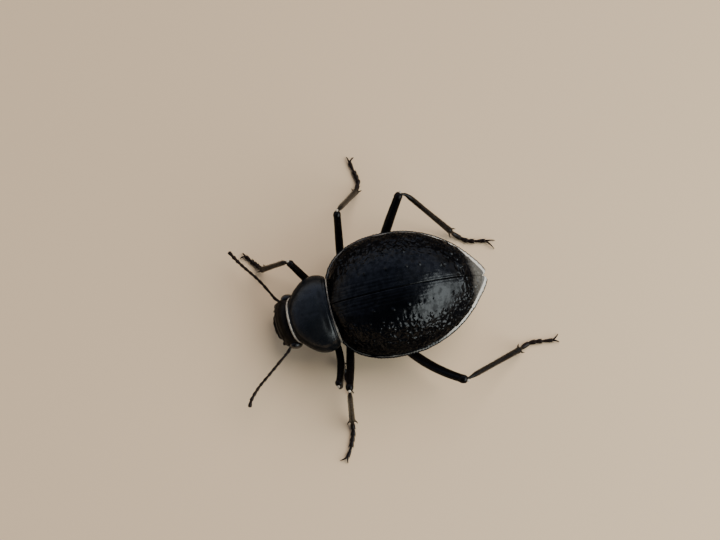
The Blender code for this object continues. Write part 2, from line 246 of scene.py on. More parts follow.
# Which way a line runs at a share of its length, with the directions to its side and above it.
def rodFrame(line, at, spread=0.01):
    along = (line(at + spread) - line(at - spread)).normalized()
    side = along.cross(up)
    side = side.normalized() if side.length > 0.05 else Vector((1, 0, 0))
    return along, side, side.cross(along).normalized()


# A rounded rod along a line: size(share) gives its two half thicknesses.
def sweepRod(line, size, around, rings, relief=None, scale=0.03):
    spread = 1.0 / (rings - 1)

    def ringAt(share):
        ring = round(share * rings)
        at = min(max((ring - 1) / (rings - 2), 0.0), 1.0)
        along, side, lift = rodFrame(line, at, spread)
        wide, deep = size(at)
        centre = line(at)
        if ring in (0, rings):
            end = centre + along * deep * (0.5 if ring else -0.5)
            return lambda angle: end
        return lambda angle: centre + side * wide * math.cos(angle) + lift * deep * math.sin(angle)

    shape, marks = shapedBall(around, rings, ringAt)
    if relief:
        carve(shape, marks, relief, scale)
    else:
        faceOutwards(shape)
        shape.verts.layers.float.new("relief")
    return shape


def oval(centre, half, around, rings, relief, scale):
    def ringAt(share):
        ring, height = math.sin(math.pi * share), -half[2] * math.cos(math.pi * share)
        return lambda angle: centre + Vector((half[0] * ring * math.cos(angle),
                                              half[1] * ring * math.sin(angle), height))

    shape, marks = shapedBall(around, rings, ringAt)
    carve(shape, marks, relief, scale)
    return shape


# One tapering bristle of a few faces, added to a shape.
def addBristle(shape, root, direction, length, thick):
    direction = direction.normalized()
    turn = direction.to_track_quat("Z", "Y").to_matrix().to_4x4()
    bmesh.ops.create_cone(shape, cap_ends=True, segments=5, radius1=thick, radius2=thick * 0.16, depth=length,
                          matrix=Matrix.Translation(root + direction * length * 0.5) @ turn)


looks = {
    # colours: the main one, its clouds, raised places (painted lighter as highlight), hollows (painted darker
    # as shade); rough: least, most, in hollows;
    # gloss: facing, at the edge; grain and pits: scale, depth
    "wingCase": dict(colours=((0.0012, 0.0014, 0.0022), (0.0028, 0.0033, 0.0048), (0.0045, 0.0046, 0.0048),
                              (0.0005, 0.0005, 0.0008)), pale=(0.64, 0.60, 0.53), rough=(0.16, 0.26, 0.42),
                     gloss=(0.56, 0.006), mottle=0.5, clouds=420, grain=(5200, 5e-6), pits=(4200, 5e-6)),
    # the thorax's blue-grey colours are partly its own blue-black and partly a painted sky sheen
    "thorax": dict(colours=((0.0055, 0.0066, 0.0086), (0.0068, 0.0080, 0.0100), (0.009, 0.0098, 0.011),
                            (0.0014, 0.0015, 0.0021)), rough=(0.2, 0.32, 0.4),
                   gloss=(0.8, 0.03), clouds=500, grain=(6500, 3e-6), pits=(5200, 4e-6)),
    "head": dict(colours=((0.0040, 0.0032, 0.0028), (0.0072, 0.0052, 0.0040), (0.015, 0.0115, 0.0085),
                          (0.0016, 0.0014, 0.0013)), rough=(0.34, 0.5, 0.6),
                 gloss=(0.24, 0.04), clouds=700, grain=(7000, 7e-6), pits=(5200, 9e-6)),
    "underside": dict(colours=((0.0045, 0.0040, 0.0039), (0.0085, 0.0068, 0.0056), (0.018, 0.0145, 0.011),
                               (0.0018, 0.0015, 0.0015)), rough=(0.28, 0.44, 0.55),
                      gloss=(0.4, 0.2), clouds=500, grain=(5200, 7e-6), pits=(4200, 9e-6)),
    "leg": dict(colours=((0.0024, 0.0021, 0.0022), (0.0050, 0.0036, 0.0030), (0.0095, 0.0066, 0.0048),
                         (0.0012, 0.0010, 0.0010)), rough=(0.16, 0.28, 0.45),
                gloss=(0.34, 0.03), clouds=520, grain=(7500, 5e-6), pits=(6500, 6e-6)),
    "shin": dict(colours=((0.0022, 0.0019, 0.0020), (0.0042, 0.0031, 0.0027), (0.0068, 0.0050, 0.0038),
                          (0.0012, 0.0010, 0.0010)), rough=(0.16, 0.26, 0.45),
                 gloss=(0.34, 0.14), clouds=520, grain=(7500, 5e-6), pits=(6500, 6e-6)),
    # a pale spot at each knee: a painted highlight
    "paintedKneeGlint": dict(colours=((0.60, 0.54, 0.45), (0.46, 0.40, 0.31), (0.66, 0.61, 0.52), (0.16, 0.12, 0.08)),
                     rough=(0.3, 0.5, 0.55), gloss=(0.5, 0.4), coat=0.1,
                     clouds=1500, grain=(9000, 4e-6), pits=(6000, 4e-6)),
    "foot": dict(colours=((0.0065, 0.0034, 0.0024), (0.013, 0.0065, 0.0040), (0.030, 0.0155, 0.0085),
                          (0.0030, 0.0018, 0.0014)), rough=(0.24, 0.4, 0.5),
                 gloss=(0.35, 0.14), clouds=900, grain=(8000, 5e-6), pits=(7000, 5e-6)),
    "feeler": dict(colours=((0.0080, 0.0042, 0.0030), (0.016, 0.0080, 0.0050), (0.034, 0.018, 0.011),
                            (0.0035, 0.0022, 0.0018)), rough=(0.3, 0.46, 0.55),
                   gloss=(0.35, 0.16), clouds=900, grain=(9000, 6e-6), pits=(8000, 6e-6)),
    "eye": dict(colours=((0.0035, 0.0035, 0.004), (0.008, 0.0062, 0.0055), (0.014, 0.012, 0.011),
                         (0.001, 0.001, 0.001)), rough=(0.08, 0.16, 0.3), coat=0.5,
                gloss=(0.5, 0.3), clouds=900, grain=(9000, 1e-6), pits=(8000, 1e-6)),
    "paleRim": dict(colours=((0.44, 0.41, 0.36), (0.30, 0.265, 0.22), (0.52, 0.49, 0.44), (0.12, 0.10, 0.08)),
                    rough=(0.3, 0.5, 0.55), gloss=(0.5, 0.4), coat=0.1,
                    clouds=1500, grain=(9000, 5e-6), pits=(6000, 5e-6)),
    "bristle": dict(colours=((0.045, 0.026, 0.014), (0.022, 0.012, 0.007), (0.08, 0.05, 0.03),
                             (0.012, 0.008, 0.005)), rough=(0.35, 0.5, 0.5),
                    gloss=(0.4, 0.3), clouds=1500, grain=(9000, 2e-6), pits=(9000, 1e-6)),
}


def addNode(tree, kind, **values):
    made = tree.nodes.new(kind)
    for key, value in values.items():
        if hasattr(made, key) and key not in made.inputs:
            setattr(made, key, value)
        else:
            made.inputs[key].default_value = value
    return made


# Stretches a reading from one range to another.
def addRange(tree, source, low, high, first, last):
    made = tree.nodes.new("ShaderNodeMapRange")
    for key, value in (("From Min", low), ("From Max", high), ("To Min", first), ("To Max", last)):
        made.inputs[key].default_value = value
    tree.links.new(source, made.inputs["Value"])
    return made.outputs["Result"]


def addProduct(tree, first, second):
    made = addNode(tree, "ShaderNodeMath", operation="MULTIPLY")
    tree.links.new(first, made.inputs[0])
    tree.links.new(second, made.inputs[1])
    return made.outputs[0]


def makeFinish(name, look):
    surface = bpy.data.materials.new(name)
    surface.use_nodes = True
    tree = surface.node_tree
    shader = tree.nodes["Principled BSDF"]
    place = addNode(tree, "ShaderNodeTexCoord").outputs["Object"]

    def pattern(scale, detail):
        made = addNode(tree, "ShaderNodeTexNoise", Scale=scale, Detail=detail)
        tree.links.new(place, made.inputs["Vector"])
        return made.outputs["Fac"]

    def reading(attribute):
        return addNode(tree, "ShaderNodeAttribute", attribute_name=attribute).outputs["Fac"]

    def mix(share, first, second):
        made = addNode(tree, "ShaderNodeMix", data_type="RGBA")
        tree.links.new(share, made.inputs[0])
        for number, colour in ((6, first), (7, second)):
            if isinstance(colour, tuple):
                made.inputs[number].default_value = (*colour, 1.0)
            else:
                tree.links.new(colour, made.inputs[number])
        return made.outputs[2]

    def bump(source, depth):
        made = addNode(tree, "ShaderNodeBump", Strength=0.6, Distance=depth)
        tree.links.new(source, made.inputs["Height"])
        return made

    main, second, high, low = look["colours"]
    clouds, relief = pattern(look["clouds"], 5.0), reading("relief")
    colour = mix(addRange(tree, clouds, 0.38, 0.66, 0.0, 1.0), main, second)
    # Raised places are painted lighter as a painted highlight, and hollows darker as painted shade.
    colour = mix(addRange(tree, relief, 0.25, 1.0, 0.0, 0.85), colour, high)
    colour = mix(addRange(tree, relief, -0.08, -0.7, 0.0, 0.9), colour, low)
    # The pale mark: a painted highlight with pale dust along the wing-case rim, and paler parts at the tip.
    if "pale" in look:
        colour = mix(addRange(tree, reading("pale"), 0.25, 1.0, 0.0, 1.0), colour, look["pale"])
    tree.links.new(colour, shader.inputs["Base Color"])
    smoothest, roughest, hollowRough = look["rough"]
    rough = addNode(tree, "ShaderNodeMix", data_type="FLOAT", B=hollowRough)
    tree.links.new(addRange(tree, relief, 0.0, -0.5, 0.0, 1.0), rough.inputs["Factor"])
    tree.links.new(addRange(tree, clouds, 0.3, 0.7, smoothest, roughest), rough.inputs["A"])
    tree.links.new(rough.outputs["Result"], shader.inputs["Roughness"])
    slant = addNode(tree, "ShaderNodeLayerWeight", Blend=0.5).outputs["Facing"]
    shine = addRange(tree, slant, 0.16, 0.37, *look["gloss"])
    mottle = addRange(tree, pattern(2200.0, 3.0), 0.4, 0.56, look.get("mottle", 0.7), 1.0)
    tree.links.new(addProduct(tree, shine, mottle), shader.inputs["Specular IOR Level"])
    shader.inputs["Coat Weight"].default_value = look.get("coat", 0.0)
    shader.inputs["Coat Roughness"].default_value = 0.08
    pitScale, pitDepth = look["pits"]
    grainScale, grainDepth = look["grain"]
    pits = addNode(tree, "ShaderNodeTexVoronoi", Scale=pitScale)
    tree.links.new(place, pits.inputs["Vector"])
    coarse = bump(addRange(tree, pits.outputs["Distance"], 0.0, 0.45, 0.0, 1.0), pitDepth)
    fine = bump(pattern(grainScale, 3.0), grainDepth)
    tree.links.new(coarse.outputs["Normal"], fine.inputs["Normal"])
    tree.links.new(fine.outputs["Normal"], shader.inputs["Normal"])
    return surface


finishes = {name: makeFinish(name, look) for name, look in looks.items()}
print("finishes ready")


def wingWidth(y):
    w = wingCases
    if y < w["widestY"]:
        part = (w["widestY"] - y) / (w["widestY"] - w["frontY"])
        return w["halfWidth"] * max(0.0, 1 - part ** 2.2) ** 0.3125
    part = (y - w["widestY"]) / (w["tipY"] - w["widestY"])
    return w["halfWidth"] * max(0.0, 1 - part ** 2.08) ** 0.71


def wingCrown(y):
    w = wingCases
    if y < w["topY"]:
        part = (w["topY"] - y) / (w["topY"] - w["noseY"])
        ease = min(1.0, max(0.0, y - w["frontY"]) / w["noseEase"]) ** 0.35
        return w["rise"] * ease * math.sqrt(max(0.0, 1 - part ** 2))
    part = (y - w["topY"]) / (w["tipY"] - w["topY"])
    return w["rise"] * max(0.0, 1 - part ** 2) ** 0.72 * (1 - w["tipFall"] * smoothStep(0.7, 0.9, part))


def bellyDepth(y):
    w = wingCases
    if y < 1.5:
        part = (1.5 - y) / (1.5 - w["frontY"])
        return w["belly"] * max(0.0, 1 - part ** 4) ** 0.35
    part = (y - 1.5) / (w["tipY"] - 1.5)
    return w["belly"] * max(0.0, 1 - part ** 2.3) ** 0.8


def rimZ(y):
    part = max(0.0, y - wingCases["widestY"]) / (wingCases["tipY"] - wingCases["widestY"])
    return wingCases["rimZ"] - wingCases["rimDrop"] * part ** 2


def bellyBend(y):
    return 1.45 + 0.4 * min(1.0, max(0.0, (y - 3.0) / 5.0))


def wingTop(side, y, share):
    width = wingWidth(y) - wingCases["rimLip"]
    rise = max(0.0, 1 - share ** wingCases["roundness"]) ** (1 / wingCases["roundness"])
    return Vector((wingCases["axisX"] + side * width * share, y, rimZ(y) + wingCrown(y) * rise))


def makeKnobs(side):
    w = wingCases
    draw = random.Random(41 + side)
    knobs = []
    for row, share in enumerate(w["rowShares"]):
        y = 0.2 - 0.9 * row + draw.uniform(-0.3, 0.3)
        while y < 9.6 - 0.5 * row:
            knobs.append((wingTop(side, y, share + draw.uniform(-0.025, 0.025)),
                          draw.uniform(*w["knobSize"]), draw.uniform(*w["knobHeight"])))
            y += w["knobSpacing"] * draw.uniform(0.7, 1.3)
    for number in range(w["grainCount"]):
        y, share = 10.2 - 12.6 * draw.random() ** 1.3, draw.uniform(0.3, 0.97) ** 0.6
        knobs.append((wingTop(side, y, share), draw.uniform(0.05, 0.11), draw.uniform(0.03, 0.07)))
    tree = kdtree.KDTree(len(knobs))
    for number, knob in enumerate(knobs):
        tree.insert(knob[0], number)
    tree.balance()
    return knobs, tree


# The plain plate: a grid from the seam over the crown to the rim and down the wall below it.
def wingGrid(side):
    w = wingCases
    shape = bmesh.new()
    bmesh.ops.create_grid(shape, x_segments=w["alongSteps"], y_segments=w["acrossSteps"], size=1.0)
    bend = 2 / w["roundness"]
    shares = []
    for point in shape.verts:
        along, across = (point.co.x + 1) / 2, (point.co.y + 1) / 2
        y = w["frontY"] + (w["tipY"] - w["frontY"]) * (1 - math.cos(math.pi * along)) / 2
        width = wingWidth(y)
        width -= w["rimLip"] * min(1.0, width / 2.0)
        if across <= w["rimShare"]:
            # The arch, with its steps closer together near the rim.
            angle = math.pi / 2 * (1 - across / w["rimShare"]) ** 1.25
            x = width * bentPower(math.cos(angle), bend)
            z = rimZ(y) + wingCrown(y) * bentPower(math.sin(angle), bend)
        else:
            belly = bellyDepth(y)
            most = min(belly, rimZ(y) - w["cutZ"])
            drop = most * (across - w["rimShare"]) / (1 - w["rimShare"])
            fold = bellyBend(y)
            x = width * max(0.0, 1 - (drop / max(belly, 1e-6)) ** fold) ** (1 / fold)
            z = rimZ(y) - drop
        point.co = (w["axisX"] + side * x, y, z)
        shares.append(across)
    faceSheet(shape, 1)
    return shape, shares


# How far a point of the upper side rises: wrinkles towards the rim, fine cells, rows, knobs and dents.
def upperRelief(point, width, fromSeam, fromRim, knobs, tree):
    w = wingCases
    y, share = point.y, min(1.0, fromSeam / width)
    # Where the coarse wrinkles are: the outer part, more of it in front, and the rear short of the tip.
    crumple = Vector((noise.noise(point * 1.3), noise.noise(point * 1.3 + Vector((7, 3, 1))), 0)) * 0.35
    start = 0.34 + 0.2 * smoothStep(3.4, 5.4, y)
    coarse = smoothStep(start, start + 0.3, share + 0.09 * noise.noise(point * 0.7))
    coarse = max(coarse, smoothStep(8.1, 9.1, y + 0.5 * noise.noise(point * 0.6)))
    coarse *= (1 - 0.85 * hill(fromRim, 0.42)) * (1 - 0.75 * smoothStep(9.7, 10.5, y))
    coarse *= 0.5 + 0.5 * max(smoothStep(0.8, 3.0, y), smoothStep(0.7, 0.95, share))
    # The wrinkles, then the fine net between them and the small pits of the smooth part.
    ridge = ridgeAt(stretched(point, 1.2, 2.3, 1.2) + crumple, 0.2)
    lift = 0.75 + 0.9 * noise.noise(point * 0.9)
    move = w["wrinkle"] * coarse * (ridge * lift - 0.3 + 0.3 * noise.noise(point * 1.7))
    gaps = noise.voronoi(point * 3.1 + crumple)[0]
    move += 0.012 * (0.35 + 0.65 * coarse) * (hill(gaps[1] - gaps[0], 0.22) - 0.3)
    move -= 0.016 * (1 - coarse) * hill(gaps[0], 0.24) * smoothStep(-0.2, 0.5, noise.noise(point * 0.8))
    move += 0.009 * noise.noise(stretched(point, 0.9, 4.2, 0.9)) * smoothStep(0.15, 0.5, share)
    for row in w["rowShares"]:
        move += 0.016 * hill((share - row) * width, 0.2) * smoothStep(-3.0, -1.0, y)
    for place, number, distance in tree.find_range(point, 0.28):
        move += knobs[number][2] * hill(distance, knobs[number][1])
    # The bead and groove along the seam, the lines beside it, which fade behind, and the dents.
    early = 1 - smoothStep(2.0, 8.0, y)
    move += 0.008 * hill(fromSeam - 0.1, 0.06) - 0.011 * hill(fromSeam - 0.22, 0.035)
    for line in w["seamLines"]:
        move -= 0.02 * early * hill(fromSeam - line - 0.05 * noise.noise(point * 0.8), 0.055)
    for x, middle, size, depth in w["dents"]:
        move -= depth * hill(math.hypot(point.x - x, y - middle), size)
    move -= w["seamDepth"] * hill(fromSeam, 0.03)
    gutter = 0.12 * hill(fromRim - 0.36, 0.2)
    return move - gutter * smoothStep(0.3, 1.0, width)


# The wall below the rim: lengthwise wrinkles, a groove under the rim, and pits.
def wallRelief(point):
    drop = rimZ(point.y) - point.z
    move = 0.010 * noise.noise(stretched(point, 1.2, 3.2, 5)) - 0.03 * hill(drop - 0.24, 0.08)
    return move - 0.014 * pitAt(point * 2.6, 0.2)


# How pale a point of the upper side is: a strip along the rim, a painted highlight with pale dust, paler over
# the shelf at the tip, and paler near the rim towards the rear.
def paleAt(point, fromRim, late):
    thin, thick = wingCases["rimHighlightAndDust"]
    reach = thin + (thick - thin) * late + 0.03 * noise.noise(point * 1.1)
    # The strip along the rim paints in the rim's highlight, with pale dust.
    strip = smoothStep(0.055, 0.09, fromRim) * smoothStep(reach + 0.1, reach + 0.05, fromRim)
    noisyY = point.y + 0.4 * noise.noise(point * 1.3)
    shelf = 0.25 + 0.13 * smoothStep(8.6, 11.0, noisyY) + 0.05 * noise.noise(point * 5)
    shelf *= smoothStep(4.2, 1.0, fromRim) * smoothStep(7.8, 9.0, noisyY)
    margin = 0.3 * smoothStep(1.0, 0.3, fromRim) * smoothStep(8.4, 9.9, point.y)
    return max(strip * (0.5 + 0.5 * late), shelf, margin)


def makeWingCase(name, side):
    w = wingCases
    knobs, tree = makeKnobs(side)
    shape, shares = wingGrid(side)

    def relief(point, upper):
        y = point.y
        width = max(wingWidth(y), 0.2)
        fromSeam = abs(point.x - w["axisX"])
        slope = (wingWidth(y + 0.02) - wingWidth(y - 0.02)) / 0.04
        inset = (width - w["rimLip"] * min(1.0, width / 2) - fromSeam) / math.hypot(1, slope)
        fromRim = math.hypot(inset, point.z - rimZ(y))
        late = smoothStep(5.0, 8.2, y)
        move = w["wave"] * noise.noise(point * 0.55) + 0.022 * noise.noise(point * 1.15)
        teeth, pale = 1.0, 0.0
        if upper:
            move += upperRelief(point, width, fromSeam, fromRim, knobs, tree)
            teeth = 0.9 + 0.1 * math.cos(y / 0.27 * math.tau + 1.5 * noise.noise(point * 2))
            pale = paleAt(point, fromRim, late)
        else:
            move += wallRelief(point)
        rimRise = w["rimLip"] * 0.95 * hill(fromRim, 0.12) * teeth
        return move * smoothStep(0.0, 0.9, width - 0.2) + rimRise * smoothStep(0.02, 0.5, width), pale

    readings = [relief(point.co, across < w["rimShare"]) for point, across in zip(shape.verts, shares)]
    moves, pales = zip(*readings)
    pushOut(shape, moves, 0.1)
    layer = shape.verts.layers.float.new("pale")
    for point, pale, across in zip(shape.verts, pales, shares):
        point[layer] = pale
        if across < 1e-5 or side * (point.co.x - w["axisX"]) < 0:
            point.co.x = w["axisX"]
    bmesh.ops.remove_doubles(shape, verts=shape.verts, dist=1e-4)
    # A wall down from the seam, then a flat underside.
    border = [edge for edge in shape.edges if edge.is_boundary]
    seam = [edge for edge in border if all(abs(end.co.x - w["axisX"]) < 1e-4 for end in edge.verts)]
    for part in bmesh.ops.extrude_edge_only(shape, edges=seam)["geom"]:
        if isinstance(part, bmesh.types.BMVert):
            part.co.z = max(w["cutZ"], rimZ(part.co.y) - bellyDepth(part.co.y))
    fillBorder(shape)
    for point in shape.verts:
        point.co.y -= w["tipNotch"] * hill(point.co.x - w["axisX"], 0.1) * smoothStep(10.6, 11.15, point.co.y)
    finishPiece(f"wing_case_{name}", shape, "wingCase", [f"elytron_{name}"])


for name, side in sides:
    makeWingCase(name, side)
print("wing cases ready")

thorax = {
    "back": (0.42, -3.44, 4.95), "front": (0.55, -6.68, 4.5), "tilt": 24.0, "turn": 2.5, "hollow": 0.026,
    "around": 300, "rings": 190, "capShare": 0.12,
    # share of length from the back, half width, rise, drop
    "rows": ((0.00, 2.95, 2.16, 1.95), (0.05, 3.28, 2.26, 2.15), (0.22, 3.56, 2.38, 2.3),
             (0.42, 3.58, 2.4, 2.3), (0.62, 3.32, 2.3, 2.15), (0.80, 2.82, 2.08, 1.85),
             (0.93, 2.32, 1.8, 1.6), (1.00, 2.06, 1.6, 1.4)),
    # the pale edges: share of length, first and last angle, share of the width, slide forwards
    "frontEdge": (1.0, -38, 218, 1.01, 0.0), "hindEdge": (0.0, -25, 205, 1.0, -0.05),
    "frontRimThick": 0.105, "hindRimThick": (0.06, 0.12),
    # the short hair on them: share of length, slide forwards, lean, count
    "fringes": ((1.0, 0.0, 1.0, 110), (0.0, -0.05, -1.0, 170)),
    # from the shell's back, under the wing cases
    "waist": ((0.05, 1.0, -0.5), (0, 0.25, -0.35), (0, -0.5, -0.3)),
}


def thoraxFrame(along):
    tilt = math.radians(thorax["tilt"]) * along
    turn = math.radians(thorax["turn"])
    forward = Vector((math.sin(turn), -math.cos(turn), 0)) * math.cos(tilt) - up * math.sin(tilt)
    side = Vector((math.cos(turn), math.sin(turn), 0))
    lift = forward.cross(side).normalized()
    return forward, side, lift if lift.z > 0 else -lift


def thoraxRing(along, shrink=1.0):
    width, rise, drop = readRows(thorax["rows"], along)
    forward, side, lift = thoraxFrame(along)
    centre = Vector(thorax["back"]).lerp(Vector(thorax["front"]), along)

    def place(angle):
        across, height = math.cos(angle), math.sin(angle)
        bend = 2 / 2.1 if height >= 0 else 2 / 1.55
        x = width * bentPower(across, bend) * shrink
        hollow = thorax["hollow"] * x * x * (1 - along) ** 2
        return (centre + side * x + lift * (rise if height >= 0 else drop) * bentPower(height, bend) * shrink
                - forward * hollow)

    return place


def makeThorax():
    cap = thorax["capShare"]
    sockets = [packedOval(f"coxa_front_{name}") for name, way in sides]

    def ringAt(share):
        along = max(0.0, min(1.0, (share - cap) / (1 - 2 * cap)))
        return thoraxRing(along, min(1.0, share / cap, (1 - share) / cap))

    def relief(point, share, angle):
        along = (share - cap) / (1 - 2 * cap)
        if along < 0 or along > 1:
            return 0.0
        height = math.sin(angle)
        x = point.x - 0.45
        move = 0.022 * noise.noise(point * 0.55) + 0.010 * noise.noise(point * 1.4)
        if height > -0.06:
            # Above: pits, a hollow across the rear, a line down the middle, and grooves along both edges.
            middle = smoothStep(2.7, 1.4, abs(x)) * (0.55 + 0.45 * hill(abs(x) - 1.3, 0.5))
            move -= 0.011 * pitAt(point * 4.2, 0.3) * (0.45 + 0.55 * smoothStep(1.2, 3.0, abs(x)))
            move -= 0.05 * hill(along - 0.17, 0.06) * middle
            midline = smoothStep(0.12, 0.3, along) * (1 - smoothStep(0.6, 0.9, along))
            move -= 0.014 * hill(x - 0.03, 0.1) * midline
            move -= 0.035 * hill(along - 0.935, 0.014) - 0.03 * hill(along - 0.972, 0.02)
            move -= 0.03 * hill(along - 0.065, 0.016) - 0.04 * hill(along - 0.03, 0.02)
        else:
            # Below: wrinkles, and a raised ring round each front hip.
            ridge = ridgeAt(stretched(point, 1.5, 3.0, 1.5), 0.25) - 0.3
            move += 0.03 * ridge * smoothStep(-0.06, -0.3, height)
            for centre, half in sockets:
                move += 0.11 * hill(ovalReach(point, centre, half) - 1.16, 0.1)
        belowSide = math.degrees(math.atan2(height, abs(math.cos(angle)))) + 7.0
        keel = smoothStep(0.0, 0.1, along) * (1 - smoothStep(0.88, 0.97, along))
        return move + 0.055 * hill(belowSide, 2.2) * keel

    shape, marks = shapedBall(thorax["around"], thorax["rings"], ringAt)
    carve(shape, marks, relief, 0.07)
    finishPiece("pronotum_shell", shape, "thorax", ["pronotum"])


# A line along an edge of the shell, in even steps.
def thoraxEdge(along, low, high, shrink, slide, steps=60):
    forward = thoraxFrame(along)[0]
    place = thoraxRing(along, shrink)
    return makeLine([place(math.radians(low + (high - low) * k / steps)) + forward * slide
                     for k in range(steps + 1)])


def makeThoraxRims():
    rim = sweepRod(thoraxEdge(*thorax["frontEdge"]),
                   lambda at: (thorax["frontRimThick"] * (1.15 - 0.35 * abs(2 * at - 1) ** 3),) * 2,
                   14, 260, grain(0.008, 5), 0.01)
    finishPiece("pronotum_front_rim", rim, "paleRim")
    thin, thick = thorax["hindRimThick"]
    rim = sweepRod(thoraxEdge(*thorax["hindEdge"]),
                   lambda at: (thick + (thin - thick) * smoothStep(0.15, 0.75, at),) * 2,
                   14, 260, grain(0.012, 4), 0.015)
    finishPiece("pronotum_hind_rim", rim, "paleRim")


def makeThoraxFringe():
    draw = random.Random(5)
    fringe = newShape()
    for along, slide, lean, count in thorax["fringes"]:
        forward, side, lift = thoraxFrame(along)
        for number in range(count):
            angle = math.radians(draw.uniform(-25, 205))
            root = thoraxRing(along, 0.99)(angle) + forward * slide
            outward = side * math.cos(angle) + lift * math.sin(angle)
            way = forward * lean * draw.uniform(0.7, 1.1) + outward * draw.uniform(0.25, 0.7)
            addBristle(fringe, root, way, draw.uniform(0.16, 0.3), 0.014)
    finishPiece("pronotum_fringe", fringe, "bristle")


# The waist that carries the wing cases on the prothorax.
def makeWaist():
    line = makeLine([Vector(thorax["back"]) + Vector(step) for step in thorax["waist"]])
    waist = sweepRod(line, lambda at: (2.5, 2.0 - 0.4 * at), 64, 30,
                     lambda point, share, angle: 0.04 * noise.noise(stretched(point, 1, 7, 1)), 0.05)
    finishPiece("waist", waist, "underside")


makeThorax()
makeThoraxRims()
makeThoraxFringe()
makeWaist()
print("prothorax ready")

head = {
    "back": (0.47, -6.45, 4.62), "front": (0.62, -8.2, 3.05), "around": 260, "rings": 170, "capShare": 0.12,
    # share of length from the neck, half width, half thickness
    "rows": ((0.00, 1.7, 1.1), (0.14, 2.02, 1.38), (0.36, 2.26, 1.46), (0.60, 2.24, 1.3),
             (0.82, 2.14, 1.0), (0.95, 1.9, 0.74), (1.00, 1.62, 0.55)),
    "eyeHalf": (0.42, 0.52, 0.64), "eyeTilt": 45.0, "facets": 5, "lensGap": 0.085,
}


def headFrame():
    back, front = Vector(head["back"]), Vector(head["front"])
    forward = (front - back).normalized()
    side = -forward.cross(up).normalized()
    lift = side.cross(forward)
    return back, front, forward, side, lift if lift.z > 0 else -lift


def makeHead():
    back, front, forward, side, lift = headFrame()
    cap = head["capShare"]
    length = (front - back).length
    eyes = [(name, packedOval(f"eye_{name}")[0]) for name, way in sides]
    roots = [Vector(feelers[name][0]) for name, way in sides]

    def ringAt(share):
        along = max(0.0, min(1.0, (share - cap) / (1 - 2 * cap)))
        shrink = min(1.0, share / cap, (1 - share) / cap)
        width, thick = readRows(head["rows"], along)
        centre = back.lerp(front, along)
        return lambda angle: (centre + side * width * bentPower(math.cos(angle), 0.9) * shrink
                              + lift * thick * bentPower(math.sin(angle), 0.9) * shrink)

    def relief(point, share, angle):
        along = (point - back).dot(forward) / length
        x = abs((point - back).dot(side) - 0.04)
        height = (point - back.lerp(front, along)).dot(lift)
        move = 0.02 * noise.noise(point * 0.8) + 0.009 * noise.noise(point * 2.5)
        if height > 0.1:
            # Above: pits, the seam round the raised front plate, the cheeks, and a hollow in the middle.
            move -= 0.026 * smoothStep(0.12, 0.3, along) * pitAt(point * 4.6, 0.3)
            seam = 0.70 - 0.07 * min(1.0, x / 1.2) ** 2
            groove = hill((along - seam) * length, 0.055) * (1 - smoothStep(1.15, 1.35, x))
            slant = hill(x - 1.25 - 1.6 * max(0.0, along - 0.63), 0.06) * smoothStep(0.6, 0.66, along)
            move -= 0.06 * max(groove, slant)
            move += 0.045 * smoothStep(seam, seam + 0.12, along) * (1 - smoothStep(1.0, 1.3, x))
            cheek = smoothStep(0.5, 0.62, along) * (1 - smoothStep(0.86, 0.98, along))
            move += 0.07 * hill(x - 1.95, 0.24) * cheek
            move -= 0.03 * hill(along - 0.43, 0.05) * hill(x, 0.8)
        else:
            # Below: wrinkles and the two throat grooves.
            move += 0.02 * (ridgeAt(stretched(point, 2.6, 1.6, 1.6), 0.25) - 0.3)
            move -= 0.05 * hill(x - 0.62, 0.07) * smoothStep(0.15, 0.3, along)
        # A rim round each eye, and a socket for each feeler.
        for name, centre in eyes:
            reach = (point - centre).length
            move += 0.06 * hill(reach - 0.72, 0.1) * (1 if height > 0 else 0.4)
        for root in roots:
            move -= 0.12 * hill((point - root).length, 0.3)
        return move if -0.05 < along < 1.2 else 0.0

    shape, marks = shapedBall(head["around"], head["rings"], ringAt)
    carve(shape, marks, relief, 0.06)
    finishPiece("head_shell", shape, "head", ["head"])
    for name, centre in eyes:
        makeEye(name, centre)


# An eye with a raised lens round every corner of a coarser ball.
def makeEye(name, centre):
    turn = Matrix.Rotation(math.radians(head["eyeTilt"]), 3, "X")
    coarse = bmesh.new()
    bmesh.ops.create_icosphere(coarse, subdivisions=head["facets"] - 1, radius=1.0)
    tree = kdtree.KDTree(len(coarse.verts))
    for number, point in enumerate(coarse.verts):
        tree.insert(point.co, number)
    tree.balance()
    coarse.free()
    shape = bmesh.new()
    bmesh.ops.create_icosphere(shape, subdivisions=head["facets"] + 1, radius=1.0)
    layer = shape.verts.layers.float.new("relief")
    half = Vector(head["eyeHalf"])
    for point in shape.verts:
        bulge = 1 - (tree.find(point.co)[2] / head["lensGap"]) ** 2
        # The kept amount paints each lens top lighter and the gaps between lenses darker, as painted
        # highlight and shade.
        point[layer] = 0.8 * bulge - 0.5
        place = point.co.normalized() * (1 + 0.03 * bulge)
        point.co = centre + turn @ Vector((place.x * half.x, place.y * half.y, place.z * half.z))
    finishPiece(f"facet_eye_{name}", shape, "eye", [f"eye_{name}"])


